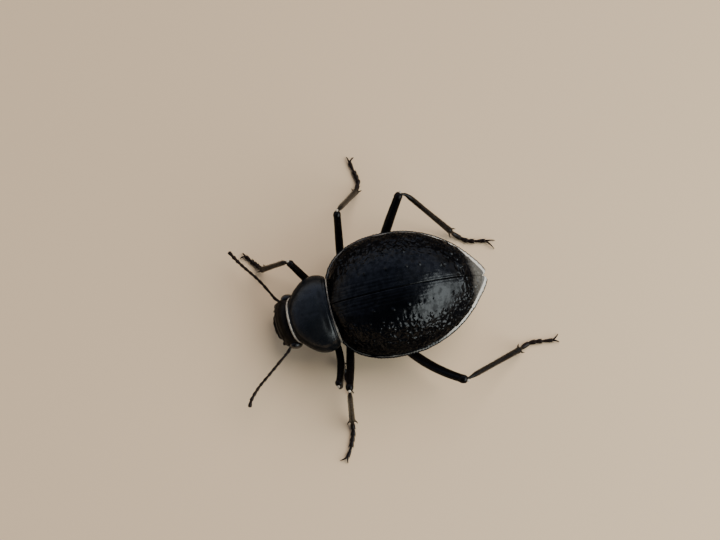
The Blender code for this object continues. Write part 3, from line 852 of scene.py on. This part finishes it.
mouth = {
    # the plates: a place ahead, out and up from the head's tip, half size, notch in front
    "upper_lip": ((0.18, 0, 0.16), (0.8, 0.42, 0.16), 0.25),
    "chin": ((-0.08, 0, -1.02), (0.82, 0.6, 0.2), -0.1),
    "mouth_floor": ((-0.12, 0, -0.45), (1.05, 0.5, 0.5), 0.0),
    # the lines of jaws and palps, in the same steps
    "jaw": ((0.1, 0.98, -0.36), (0.34, 0.98, -0.38), (0.58, 0.86, -0.4), (0.74, 0.51, -0.41),
            (0.74, 0.16, -0.42)),
    "jawRows": ((0, 0.25, 0.27), (0.35, 0.27, 0.26), (0.6, 0.22, 0.2), (0.85, 0.14, 0.12), (1, 0.05, 0.05)),
    "long_palp": ((-0.2, 1.2, -0.9), (0.3, 1.58, -0.96), (0.72, 1.62, -1.0), (1.02, 1.5, -0.96)),
    "short_palp": ((0.34, 0.34, -1.04), (0.64, 0.42, -1.04), (0.9, 0.36, -1.04)),
    # joints of the palps, thin and thick half size, how much thicker the last joint is
    "longJoints": ((0.5, 0.9, 0.7, 1.0), 0.085, 0.13, 1.7),
    "shortJoints": ((0.6, 0.8, 1.0), 0.06, 0.095, 1.3),
    "lipHairs": 46,
}


# A place by its steps ahead, out and up from the head's tip.
def mouthPlace(ahead, out, rise):
    front, forward, side, lift = headFrame()[1:]
    return front + forward * 0.25 + forward * ahead + side * out + lift * rise


def makePlate(name, nodes=()):
    forward, side, lift = headFrame()[2:]
    step, half, notch = mouth[name]
    centre = mouthPlace(*step)

    def ringAt(share):
        ring, height = math.sin(math.pi * share) ** 0.7, math.cos(math.pi * share)

        def place(angle):
            x, y = math.cos(angle) * ring, math.sin(angle) * ring
            deep = y - notch * hill(x, 0.35) * max(0.0, y)
            return (centre + side * half[0] * bentPower(x, 0.85) + forward * half[1] * deep
                    - lift * half[2] * height)

        return place

    shape, marks = shapedBall(72, 48, ringAt)
    carve(shape, marks, grain(0.012, 3, 0.012, 5), 0.03)
    finishPiece(name, shape, "head", nodes)


def makeLipFringe():
    forward, side, lift = headFrame()[2:]
    lip = mouthPlace(*mouth["upper_lip"][0])
    hairs, draw = newShape(), random.Random(8)
    for number in range(mouth["lipHairs"]):
        x = draw.uniform(-0.7, 0.7)
        root = lip + side * x + forward * (0.36 - 0.25 * x * x) - lift * draw.uniform(0.0, 0.1)
        addBristle(hairs, root, forward + side * draw.uniform(-0.25, 0.25) - lift * draw.uniform(0, 0.4),
                   draw.uniform(0.12, 0.26), 0.011)
    finishPiece("lip_fringe", hairs, "bristle")


def makeJawAndPalps(name, way):
    def lineOf(key):
        return makeLine([mouthPlace(ahead, way * out, rise) for ahead, out, rise in mouth[key]])

    jaw = sweepRod(lineOf("jaw"), lambda at: readRows(mouth["jawRows"], at), 28, 44,
                   lambda point, share, angle: 0.012 * math.sin(7 * angle) * (1 - share), 0.02)
    finishPiece(f"jaw_{name}", jaw, "thorax", [f"mandible_{name}"])
    palp = sweepRod(lineOf("long_palp"), lambda at: jointSize(at, *mouth["longJoints"]), 20, 90)
    finishPiece(f"long_palp_{name}", palp, "feeler", [f"palp_{name}"])
    palp = sweepRod(lineOf("short_palp"), lambda at: jointSize(at, *mouth["shortJoints"]), 16, 50)
    finishPiece(f"short_palp_{name}", palp, "feeler")


# Half thickness of a rod of joints: each starts narrow, widens and closes again.
def jointSize(at, joints, narrow, wide, last=1.0):
    reach, total = 0.0, sum(joints)
    for number, size in enumerate(joints):
        if at * total <= reach + size or number == len(joints) - 1:
            part = max(0.0, min(1.0, (at * total - reach) / size))
            top = wide * (last if number == len(joints) - 1 else 1.0)
            swell = smoothStep(0.0, 0.8, part) * (1 - 0.9 * smoothStep(0.92, 1.0, part) ** 2)
            thick = narrow + (top - narrow) * swell
            return thick, thick
        reach += size


feelers = {
    "right": ((-1.62, -8.0, 3.7), (-1.95, -8.3, 3.68), (-2.63, -8.66, 3.62), (-4.03, -9.49, 3.6),
              (-5.31, -10.45, 3.45), (-6.13, -11.03, 3.35), (-7.16, -11.66, 3.2)),
    "left": ((2.82, -7.75, 3.72), (3.2, -8.1, 3.62), (3.86, -8.94, 3.45), (4.85, -10.19, 3.3),
             (5.84, -11.44, 3.1), (6.8, -12.32, 3.0), (7.4, -12.62, 2.9)),
    "joints": (1.0, 0.5, 1.7, 1.05, 1.0, 0.95, 0.9, 0.85, 0.85, 0.8, 0.95),
    "narrow": 0.1, "wide": 0.145, "hairs": 190,
}


def makeFeeler(name):
    line = makeLine(feelers[name])
    joints = feelers["joints"]

    def size(at):
        thick = jointSize(at, joints, feelers["narrow"], feelers["wide"])[0]
        grow = 1 + 0.25 * smoothStep(0.6, 0.95, at) + 0.22 * (1 - smoothStep(0.0, 0.09, at))
        return thick * grow, thick * grow * 0.92

    shape = sweepRod(line, size, 22, 330, grain(0.005, 6, 0.005, 9), 0.012)
    finishPiece(f"feeler_{name}", shape, "feeler", [f"antenna_{name}"])
    hairs = newShape()
    draw = random.Random(17 if name == "left" else 18)
    for number in range(feelers["hairs"]):
        at = draw.uniform(0.03, 0.99)
        along, side, lift = rodFrame(line, at)
        angle = draw.uniform(0, math.tau)
        out = side * math.cos(angle) + lift * math.sin(angle)
        addBristle(hairs, line(at) + out * size(at)[0] * 0.9, along + out * draw.uniform(0.5, 0.9),
                   draw.uniform(0.09, 0.16), 0.009)
    finishPiece(f"feeler_hair_{name}", hairs, "bristle")


makeHead()
makePlate("upper_lip", ["labrum"])
makePlate("chin", ["mentum"])
makeLipFringe()
makePlate("mouth_floor")
for name, way in sides:
    makeJawAndPalps(name, way)
for name, way in sides:
    makeFeeler(name)
print("head and feelers ready")

belly = {
    "joints": (-3.3, -1.15, 1.62, 4.3, 6.3, 7.9, 9.15, 10.52), "topZ": 4.21, "rowStep": 0.05,
    "across": 150, "gap": 0.02, "lipHeight": 0.05, "grooveDepth": 0.07,
    "names": ("mesothorax", "metathorax", "ventrite_1", "ventrite_2", "ventrite_3", "ventrite_4",
              "ventrite_5"),
}


def makeBellyPlate(number, name, sockets):
    front, rear = belly["joints"][number] + belly["gap"], belly["joints"][number + 1] - belly["gap"]
    rows = max(12, round((rear - front) / belly["rowStep"]))
    hindPlate = number > 1
    shape = bmesh.new()
    bmesh.ops.create_grid(shape, x_segments=rows, y_segments=belly["across"], size=1.0)
    for point in shape.verts:
        along, across = (point.co.x + 1) / 2, point.co.y
        y = front + (rear - front) * along
        deep = max(bellyDepth(y), rimZ(y) - belly["topZ"] + 0.05)
        bend = bellyBend(y)
        width = wingWidth(y) - wingCases["rimLip"] * min(1.0, wingWidth(y) / 2)
        first = math.asin(min(1.0, ((rimZ(y) - belly["topZ"]) / deep) ** (bend / 2)))
        angle = first + (math.pi / 2 - first) * (1 - abs(across))
        x = width * bentPower(math.cos(angle), 2 / bend)
        point.co = (wingCases["axisX"] + math.copysign(x, across) * 0.992, y,
                    rimZ(y) - deep * bentPower(math.sin(angle), 2 / bend))
    faceSheet(shape, -1)

    def relief(place):
        ahead, behind = place.y - front, rear - place.y
        cell = stretched(place, 3.6, 1.3, 2.4) if hindPlate else stretched(place, 2.4, 2.4, 2.4)
        rough = (0.014 if hindPlate else 0.03) * (1 - 0.5 * smoothStep(2.0, 5.0, abs(place.x)))
        lip = belly["lipHeight"] if hindPlate else 0.02
        move = 0.012 * noise.noise(place * 0.8) + rough * (ridgeAt(cell, 0.22) - 0.3)
        move -= 0.014 * pitAt(place * 4.4, 0.3)
        # The raised rear edge, the groove in front, and the line where the next plate starts.
        move += lip * smoothStep(0.5, 0.08, behind) - belly["grooveDepth"] * hill(ahead, 0.12)
        move -= 0.05 * hill(behind, 0.03)
        if name == "metathorax":
            move -= 0.05 * hill(place.x - wingCases["axisX"], 0.06) * smoothStep(-0.6, 0.4, place.y)
        for centre, half in sockets:
            move += 0.09 * hill(ovalReach(place, centre, half) - 1.14, 0.1)
        return move

    pushOut(shape, [relief(point.co) for point in shape.verts], 0.07)
    for point in shape.verts:
        point.co.z = min(point.co.z, belly["topZ"])
    border = [edge for edge in shape.edges if edge.is_boundary]
    for part in bmesh.ops.extrude_edge_only(shape, edges=border)["geom"]:
        if isinstance(part, bmesh.types.BMVert):
            part.co.z = belly["topZ"] + 0.02
            part.co.x = wingCases["axisX"] + (part.co.x - wingCases["axisX"]) * 0.99
    fillBorder(shape)
    finishPiece(f"{name}_plate", shape, "underside", [name])


def makeUnderside():
    sockets = {}
    for kind in ("mid", "hind"):
        sockets[kind] = [packedOval(f"coxa_{kind}_{name}") for name, way in sides]
    near = {0: sockets["mid"], 1: sockets["mid"] + sockets["hind"], 2: sockets["hind"]}
    for number, name in enumerate(belly["names"]):
        makeBellyPlate(number, name, near.get(number, []))


makeUnderside()
print("underside ready")

legParts = {
    "thigh": {"front": 0.37, "mid": 0.4, "hind": 0.46},
    "knee": {"front": 0.35, "mid": 0.37, "hind": 0.42},
    "shin": 0.255, "shinEnd": 0.33, "ankleZ": 0.95, "footZ": 0.23,
    "packedKnee": {"front": 0.31, "mid": 0.33, "hind": 0.37}, "packedShin": 0.25, "gap": 0.04,
    "joints": {"front": (1.3, 0.8, 0.75, 0.75, 1.5), "mid": (1.5, 0.9, 0.8, 0.75, 1.5),
               "hind": (1.9, 1.0, 0.85, 1.5)},
    # the pale spot at each knee is a painted highlight
    "paintedKneeGlint": (0.13, 0.13, 0.13), "bowSteps": 14, "clawTipZ": 0.05,
    "bristleRows": 5, "bristleStep": 0.24, "ankleBristles": 9, "soleBristles": 7, "footBristles": 5,
}
legs = {
    "front_right": dict(hip=(-1.85, -4.1, 2.1), knee=(-4.85, -6.35, 5.2), bow=(0, 0, 0), ankle=(-5.2, -9.05),
                        foot=((-6.0, -9.65), (-6.45, -10.05), (-6.85, -10.35)),
                        claws=((-6.8, -10.95), (-7.3, -10.6))),
    "front_left": dict(hip=(2.4, -3.75, 2.1), knee=(7.3, -4.15, 5.1), bow=(0, 0.48, -0.1), ankle=(5.1, -3.4),
                       foot=((6.2, -3.3), (6.9, -3.2), (7.5, -3.15)), claws=((8.1, -3.4), (8.1, -2.9))),
    "mid_right": dict(hip=(-2.05, -1.85, 1.8), knee=(-8.35, -1.0, 6.35), bow=(0, 0, -0.15),
                      ankle=(-10.75, 1.3), foot=((-11.75, 1.7), (-12.45, 1.6), (-12.9, 1.5), (-13.75, 1.3)),
                      claws=((-14.45, 1.1), (-14.25, 1.8))),
    "mid_left": dict(hip=(2.2, -2.1, 1.8), knee=(7.95, -3.25, 6.5), bow=(0, 0.1, -0.15), ankle=(10.6, -3.6),
                     foot=((11.6, -3.7), (12.35, -3.95), (13.25, -4.35), (13.8, -4.7)),
                     claws=((14.0, -5.5), (14.4, -4.8))),
    "hind_right": dict(hip=(-2.45, 1.2, 1.8), knee=(-8.8, 5.0, 6.5), bow=(-0.1, -0.1, -0.25),
                       ankle=(-5.1, 9.35), foot=((-4.35, 10.2), (-3.95, 10.8), (-3.75, 11.55), (-3.6, 12.45)),
                       claws=((-3.45, 13.45), (-2.65, 13.2))),
    "hind_left": dict(hip=(2.6, 1.2, 1.8), knee=(9.25, 7.4, 5.9), bow=(0.5, -0.5, -0.15), ankle=(7.35, 13.3),
                      foot=((6.95, 14.3), (6.9, 14.95), (7.0, 15.8), (7.1, 16.65)),
                      claws=((6.6, 17.35), (7.4, 17.3))),
}


# The size along a rod from rows of (share, half thickness), a little narrower from side to side.
def sizeFrom(rows, narrow):
    def size(at):
        deep = readRows(rows, at)[0]
        return deep * narrow, deep

    return size


# A point on a rod at a share and angle, with the rod's direction and the way out.
def rodSpot(line, size, at, angle):
    along, side, lift = rodFrame(line, at)
    wide, deep = size(at)
    out = side * math.cos(angle) + lift * math.sin(angle)
    return line(at) + side * wide * math.cos(angle) + lift * deep * math.sin(angle), along, out


def makeHip(name, hip, pull):
    socket, half = packedOval(f"coxa_{name}")
    shape = oval(socket, half, 60, 44, grain(0.02, 2, 0.018, 4.6), 0.03)
    finishPiece(f"hip_{name}", shape, "leg", [f"coxa_{name}"])
    line = makeLine([socket.lerp(hip, 0.55), hip, hip + pull * 0.42])
    shape = sweepRod(line, lambda at: (0.34 - 0.05 * at,) * 2, 30, 26, grain(0.0, 1, 0.012, 5), 0.03)
    finishPiece(f"hip_ring_{name}", shape, "leg")


def makeThigh(name, kind, hip, kneeEnd, under, bow):
    thick, end = legParts["thigh"][kind], legParts["knee"][kind]
    shares = [k / legParts["bowSteps"] for k in range(legParts["bowSteps"] + 1)]
    line = makeLine([hip.lerp(kneeEnd, share) + bow * 4 * share * (1 - share) for share in shares])
    rows = ((0.0, 0.22), (0.05, 0.25), (0.12, thick * 0.8), (0.3, thick * 0.98), (0.5, thick * 1.03),
            (0.7, thick * 1.0), (0.86, thick * 0.94), (0.94, end), (0.98, end), (1.0, end * 0.8))

    def relief(point, share, angle):
        # Pits, the notch under the knee for the shin, a ridge over the knee, and a groove underneath.
        below = (point - line(share)).normalized().dot(under)
        move = 0.01 * noise.noise(point * 1.5) - 0.011 * pitAt(stretched(point, 3.6, 3.6, 3.6), 0.32)
        move -= 0.14 * smoothStep(0.9, 0.965, share) * smoothStep(0.72, 0.96, below)
        move += 0.03 * hill(share - 0.955, 0.012) * smoothStep(0.2, -0.3, below)
        return move - 0.02 * hill(below - 0.86, 0.06) * smoothStep(0.55, 0.8, share)

    shape = sweepRod(line, sizeFrom(rows, 0.93), 40, 190, relief, 0.035)
    finishPiece(f"thigh_{name}", shape, "leg", [f"femur_{name}"])


# A pale spot at the end of each thigh: a painted highlight that stands for the knee's glint.
def makePaintedKneeGlint(name, kneeEnd, pull, under):
    centre = kneeEnd + pull * 0.16 + under * 0.03
    shape = oval(centre, legParts["paintedKneeGlint"], 32, 22, grain(0.012, 6), 0.015)
    finishPiece(f"painted_knee_glint_{name}", shape, "paintedKneeGlint")


def makeShin(name, kneeEnd, pull, under, shinTop, ankle, down, ahead):
    line = makeLine([kneeEnd + under * 0.06 - pull * 0.06, kneeEnd + under * 0.34 - pull * 0.03,
                     kneeEnd.lerp(shinTop, 0.88) + down * 0.16]
                    + [shinTop.lerp(ankle, share) for share in (0.12, 0.35, 0.6, 0.8, 0.92)] + [ankle])
    thick, end = legParts["shin"], legParts["shinEnd"]
    rows = ((0.0, 0.13), (0.05, 0.15), (0.1, 0.2), (0.17, thick), (0.5, thick * 1.02), (0.78, thick * 1.14),
            (0.93, end * 0.92), (0.98, end), (1.0, end * 0.86))
    size = sizeFrom(rows, 0.92)

    def relief(point, share, angle):
        along = smoothStep(0.1, 0.2, share)
        ridges = 0.016 * along * abs(math.cos(2 * angle + 0.4)) ** 3 - 0.006
        grains = 0.012 * along * pitAt(stretched(point, 4.5, 4.5, 4.5), 0.28)
        return ridges + grains + 0.008 * noise.noise(point * 3)

    shape = sweepRod(line, size, 36, 210, relief, 0.03)
    # Two spurs at the end.
    across = ahead.cross(up).normalized()
    for way in (-1, 1):
        root = ankle - down * 0.12 + across * way * 0.16
        tip = ankle + across * way * 0.5 + ahead * 0.32 - up * 0.55
        spur = makeLine([root, root.lerp(tip, 0.5) + across * way * 0.05 + up * 0.03, tip])
        joinInto(shape, sweepRod(spur, lambda at: (0.09 * (1 - at) ** 0.7 + 0.012,) * 2, 14, 24))
    finishPiece(f"shin_{name}", shape, "shin", [f"tibia_{name}"])
    return line, size


def makeFoot(name, joints, ankle, down, ahead, foot):
    line = makeLine([ankle + down * 0.06, ankle + ahead * 0.38 - up * 0.46]
                    + [Vector((x, y, legParts["footZ"])) for x, y in foot])
    lastStart = 1 - joints[-1] / sum(joints)

    def size(at):
        wide = jointSize(at, joints, 0.15, 0.225, 0.84)[0]
        if at > lastStart + 0.01:
            wide *= 0.72 + 0.28 * smoothStep(lastStart, 1.0, at)
        return wide * 1.06, wide * 0.94

    shape = sweepRod(line, size, 26, 230, grain(0.008, 4, 0.007, 7), 0.016)
    finishPiece(f"foot_{name}", shape, "foot", [f"tarsus_{name}"])
    return line, size


def makeClaws(name, footLine, claws):
    shape = newShape()
    end = footLine(1.0)
    ahead = (end - footLine(0.96)).normalized()
    root = end + ahead * 0.02
    for x, y in claws:
        tip = Vector((x, y, legParts["clawTipZ"]))
        line = makeLine([root, root.lerp(tip, 0.3) + up * 0.14 + ahead * 0.05,
                         root.lerp(tip, 0.68) + up * 0.15 + ahead * 0.05, tip])
        joinInto(shape, sweepRod(line, lambda at: (0.085 * (1 - at) ** 0.6 + 0.014,) * 2, 14, 40))
    finishPiece(f"claw_pair_{name}", shape, "foot", [f"claws_{name}"])


def makeBristles(name, joints, shin, shinLength, foot):
    draw = random.Random(100 + sorted(legs).index(name))
    shape = newShape()
    # In rows along the shin, and in a ring at its end.
    rows, count = legParts["bristleRows"], round(shinLength / legParts["bristleStep"])
    for row in range(rows):
        angle = math.tau * (row + 0.3) / rows
        for number in range(count):
            at = 0.14 + 0.82 * (number + draw.uniform(0.2, 0.8)) / count
            root, along, out = rodSpot(*shin, at, angle + draw.uniform(-0.25, 0.25))
            addBristle(shape, root - out * 0.02, along + out * draw.uniform(0.45, 0.8),
                       draw.uniform(0.13, 0.22), 0.017)
    for number in range(legParts["ankleBristles"]):
        root, along, out = rodSpot(*shin, 0.985, math.tau * number / legParts["ankleBristles"])
        addBristle(shape, root - out * 0.03, along + out * 0.35, draw.uniform(0.16, 0.24), 0.022)
    # Under the end of each joint of the foot, and here and there on it.
    reach, total = 0.0, sum(joints)
    for size in joints:
        reach += size
        for number in range(legParts["soleBristles"]):
            angle = math.radians(200 + 140 * number / (legParts["soleBristles"] - 1))
            root, along, out = rodSpot(*foot, min(0.995, reach / total - 0.012), angle)
            addBristle(shape, root - out * 0.02, along * 1.1 + out * 0.5, draw.uniform(0.15, 0.24), 0.018)
        for number in range(legParts["footBristles"]):
            at = (reach - size * draw.uniform(0.25, 0.85)) / total
            root, along, out = rodSpot(*foot, max(0.01, at), draw.uniform(0, math.tau))
            addBristle(shape, root - out * 0.02, along + out * 0.7, draw.uniform(0.1, 0.16), 0.012)
    finishPiece(f"bristles_{name}", shape, "bristle")


def makeLeg(name, leg):
    kind = name.split("_")[0]
    joints = legParts["joints"][kind]
    hip, knee = Vector(leg["hip"]), Vector(leg["knee"])
    ankle = Vector((*leg["ankle"], legParts["ankleZ"]))
    pull, hang = (knee - hip).normalized(), (ankle - knee).normalized()
    under = (hang - pull * hang.dot(pull)).normalized()
    kneeEnd = knee - pull * 0.12
    # The shin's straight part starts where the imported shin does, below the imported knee.
    drop = legParts["packedKnee"][kind] + legParts["packedShin"] + 0.03 + legParts["gap"]
    shinTop = kneeEnd + under * drop
    down = (ankle - shinTop).normalized()
    toeX, toeY = leg["foot"][0]
    ahead = Vector((toeX - ankle.x, toeY - ankle.y, 0)).normalized()
    makeHip(name, hip, pull)
    makeThigh(name, kind, hip, kneeEnd, under, Vector(leg["bow"]))
    makePaintedKneeGlint(name, kneeEnd, pull, under)
    shin = makeShin(name, kneeEnd, pull, under, shinTop, ankle, down, ahead)
    foot = makeFoot(name, joints, ankle, down, ahead, leg["foot"])
    makeClaws(name, foot[0], leg["claws"])
    makeBristles(name, joints, shin, (ankle - shinTop).length, foot)


for name, leg in legs.items():
    makeLeg(name, leg)
print("legs ready")

studio = {
    # the camera turns and leans by degrees and looks from a distance in mm
    "turn": 12.0, "lean": 7.0, "distance": 116.3, "lens": 62.77, "sensor": 36.0, "aim": (-2.8, 0.0, 4.5),
    "floorHalf": 1.5, "floor": (0.86, 0.64, 0.42), "floorRough": 0.85,
    # height of the direction, then the room's colour there
    "room": ((0.0, (0.46, 0.42, 0.36)), (0.1, (0.22, 0.23, 0.26)), (0.5, (0.09, 0.105, 0.15)),
             (1.0, (0.045, 0.055, 0.08))),
    # the room's bright side, and the cosines and strengths at its dark and bright ends
    "brightWay": (-0.93, 0.15, 0.0), "brightSpan": (-0.6, 0.8, 0.25, 3.0),
    # a dark card over the left side: the cosines where it starts and is full, and what it lets through
    "cardWay": (0.55, -0.1, 0.8), "cardSpan": (0.74, 0.91, 1.0, 0.05),
    # direction and height in degrees, distance and size in mm
    "lamp": {"way": 60, "height": 34, "distance": 150, "size": (190, 125), "power": 0.2,
             "colour": (0.92, 1.0, 0.99)},
    "sun": {"way": 128, "height": 52, "strength": 2.5, "spread": 50, "colour": (1.0, 0.95, 0.87)},
}


def placeCamera():
    turn, lean = math.radians(studio["turn"]), math.radians(studio["lean"])
    right = Vector((math.sin(turn), math.cos(turn), 0))
    level = Vector((-math.cos(turn), math.sin(turn), 0))
    back = up * math.cos(lean) - level * math.sin(lean)
    lift = level * math.cos(lean) + up * math.sin(lean)
    lens = bpy.data.cameras.new("camera")
    lens.sensor_width = studio["sensor"]
    lens.lens = studio["lens"]
    lens.clip_start, lens.clip_end = 0.001, 10.0
    camera = bpy.data.objects.new("camera", lens)
    place = (Vector(studio["aim"]) + shift + back * studio["distance"]) * mm
    turned = Matrix((right, lift, back)).transposed().to_4x4()
    camera.matrix_world = Matrix.Translation(place) @ turned
    bpy.context.scene.collection.objects.link(camera)
    bpy.context.scene.camera = camera


def addLight(name, kind, values):
    light = bpy.data.lights.new(name, kind)
    light.color = values["colour"]
    stand = bpy.data.objects.new(name, light)
    way, height = math.radians(values["way"]), math.radians(values["height"])
    aim = Vector((math.cos(way) * math.cos(height), math.sin(way) * math.cos(height), math.sin(height)))
    stand.rotation_euler = aim.to_track_quat("Z", "Y").to_euler()
    bpy.context.scene.collection.objects.link(stand)
    return light, stand, aim


def makeLights():
    values = studio["lamp"]
    light, stand, aim = addLight("lamp_0", "AREA", values)
    light.shape = "RECTANGLE"
    light.size, light.size_y = values["size"][0] * mm, values["size"][1] * mm
    light.energy = values["power"]
    stand.location = aim * values["distance"] * mm
    light, stand, aim = addLight("sun", "SUN", studio["sun"])
    light.energy, light.angle = studio["sun"]["strength"], math.radians(studio["sun"]["spread"])
    stand.visible_glossy = False


def makeRoom():
    world = bpy.data.worlds.new("room")
    world.use_nodes = True
    tree = world.node_tree
    glow = tree.nodes["Background"]
    where = tree.nodes.new("ShaderNodeTexCoord").outputs["Generated"]
    split = tree.nodes.new("ShaderNodeSeparateXYZ")
    ramp = tree.nodes.new("ShaderNodeValToRGB")
    for number, (height, colour) in enumerate(studio["room"]):
        stop = ramp.color_ramp.elements[number] if number < 2 else ramp.color_ramp.elements.new(height)
        stop.position = height
        stop.color = (*colour, 1.0)
    tree.links.new(where, split.inputs[0])
    tree.links.new(split.outputs["Z"], ramp.inputs[0])
    tree.links.new(ramp.outputs[0], glow.inputs["Color"])

    # How far each direction turns towards a way, as a strength.
    def towards(way, span):
        facing = addNode(tree, "ShaderNodeVectorMath", operation="DOT_PRODUCT")
        facing.inputs[1].default_value = way
        tree.links.new(where, facing.inputs[0])
        return addRange(tree, facing.outputs["Value"], *span)

    level = towards(studio["brightWay"], studio["brightSpan"])
    card = towards(Vector(studio["cardWay"]).normalized(), studio["cardSpan"])
    tree.links.new(addProduct(tree, level, card), glow.inputs["Strength"])
    bpy.context.scene.world = world


def makeFloor():
    shape = bmesh.new()
    bmesh.ops.create_grid(shape, x_segments=2, y_segments=2, size=studio["floorHalf"])
    data = bpy.data.meshes.new("floor")
    shape.to_mesh(data)
    shape.free()
    surface = bpy.data.materials.new("floorPaint")
    surface.use_nodes = True
    paint = surface.node_tree.nodes["Principled BSDF"]
    paint.inputs["Base Color"].default_value = (*studio["floor"], 1.0)
    paint.inputs["Roughness"].default_value = studio["floorRough"]
    data.materials.append(surface)
    floor = bpy.data.objects.new("floor", data)
    bpy.context.scene.collection.objects.link(floor)


placeCamera()
makeLights()
makeRoom()
makeFloor()
print("studio ready")
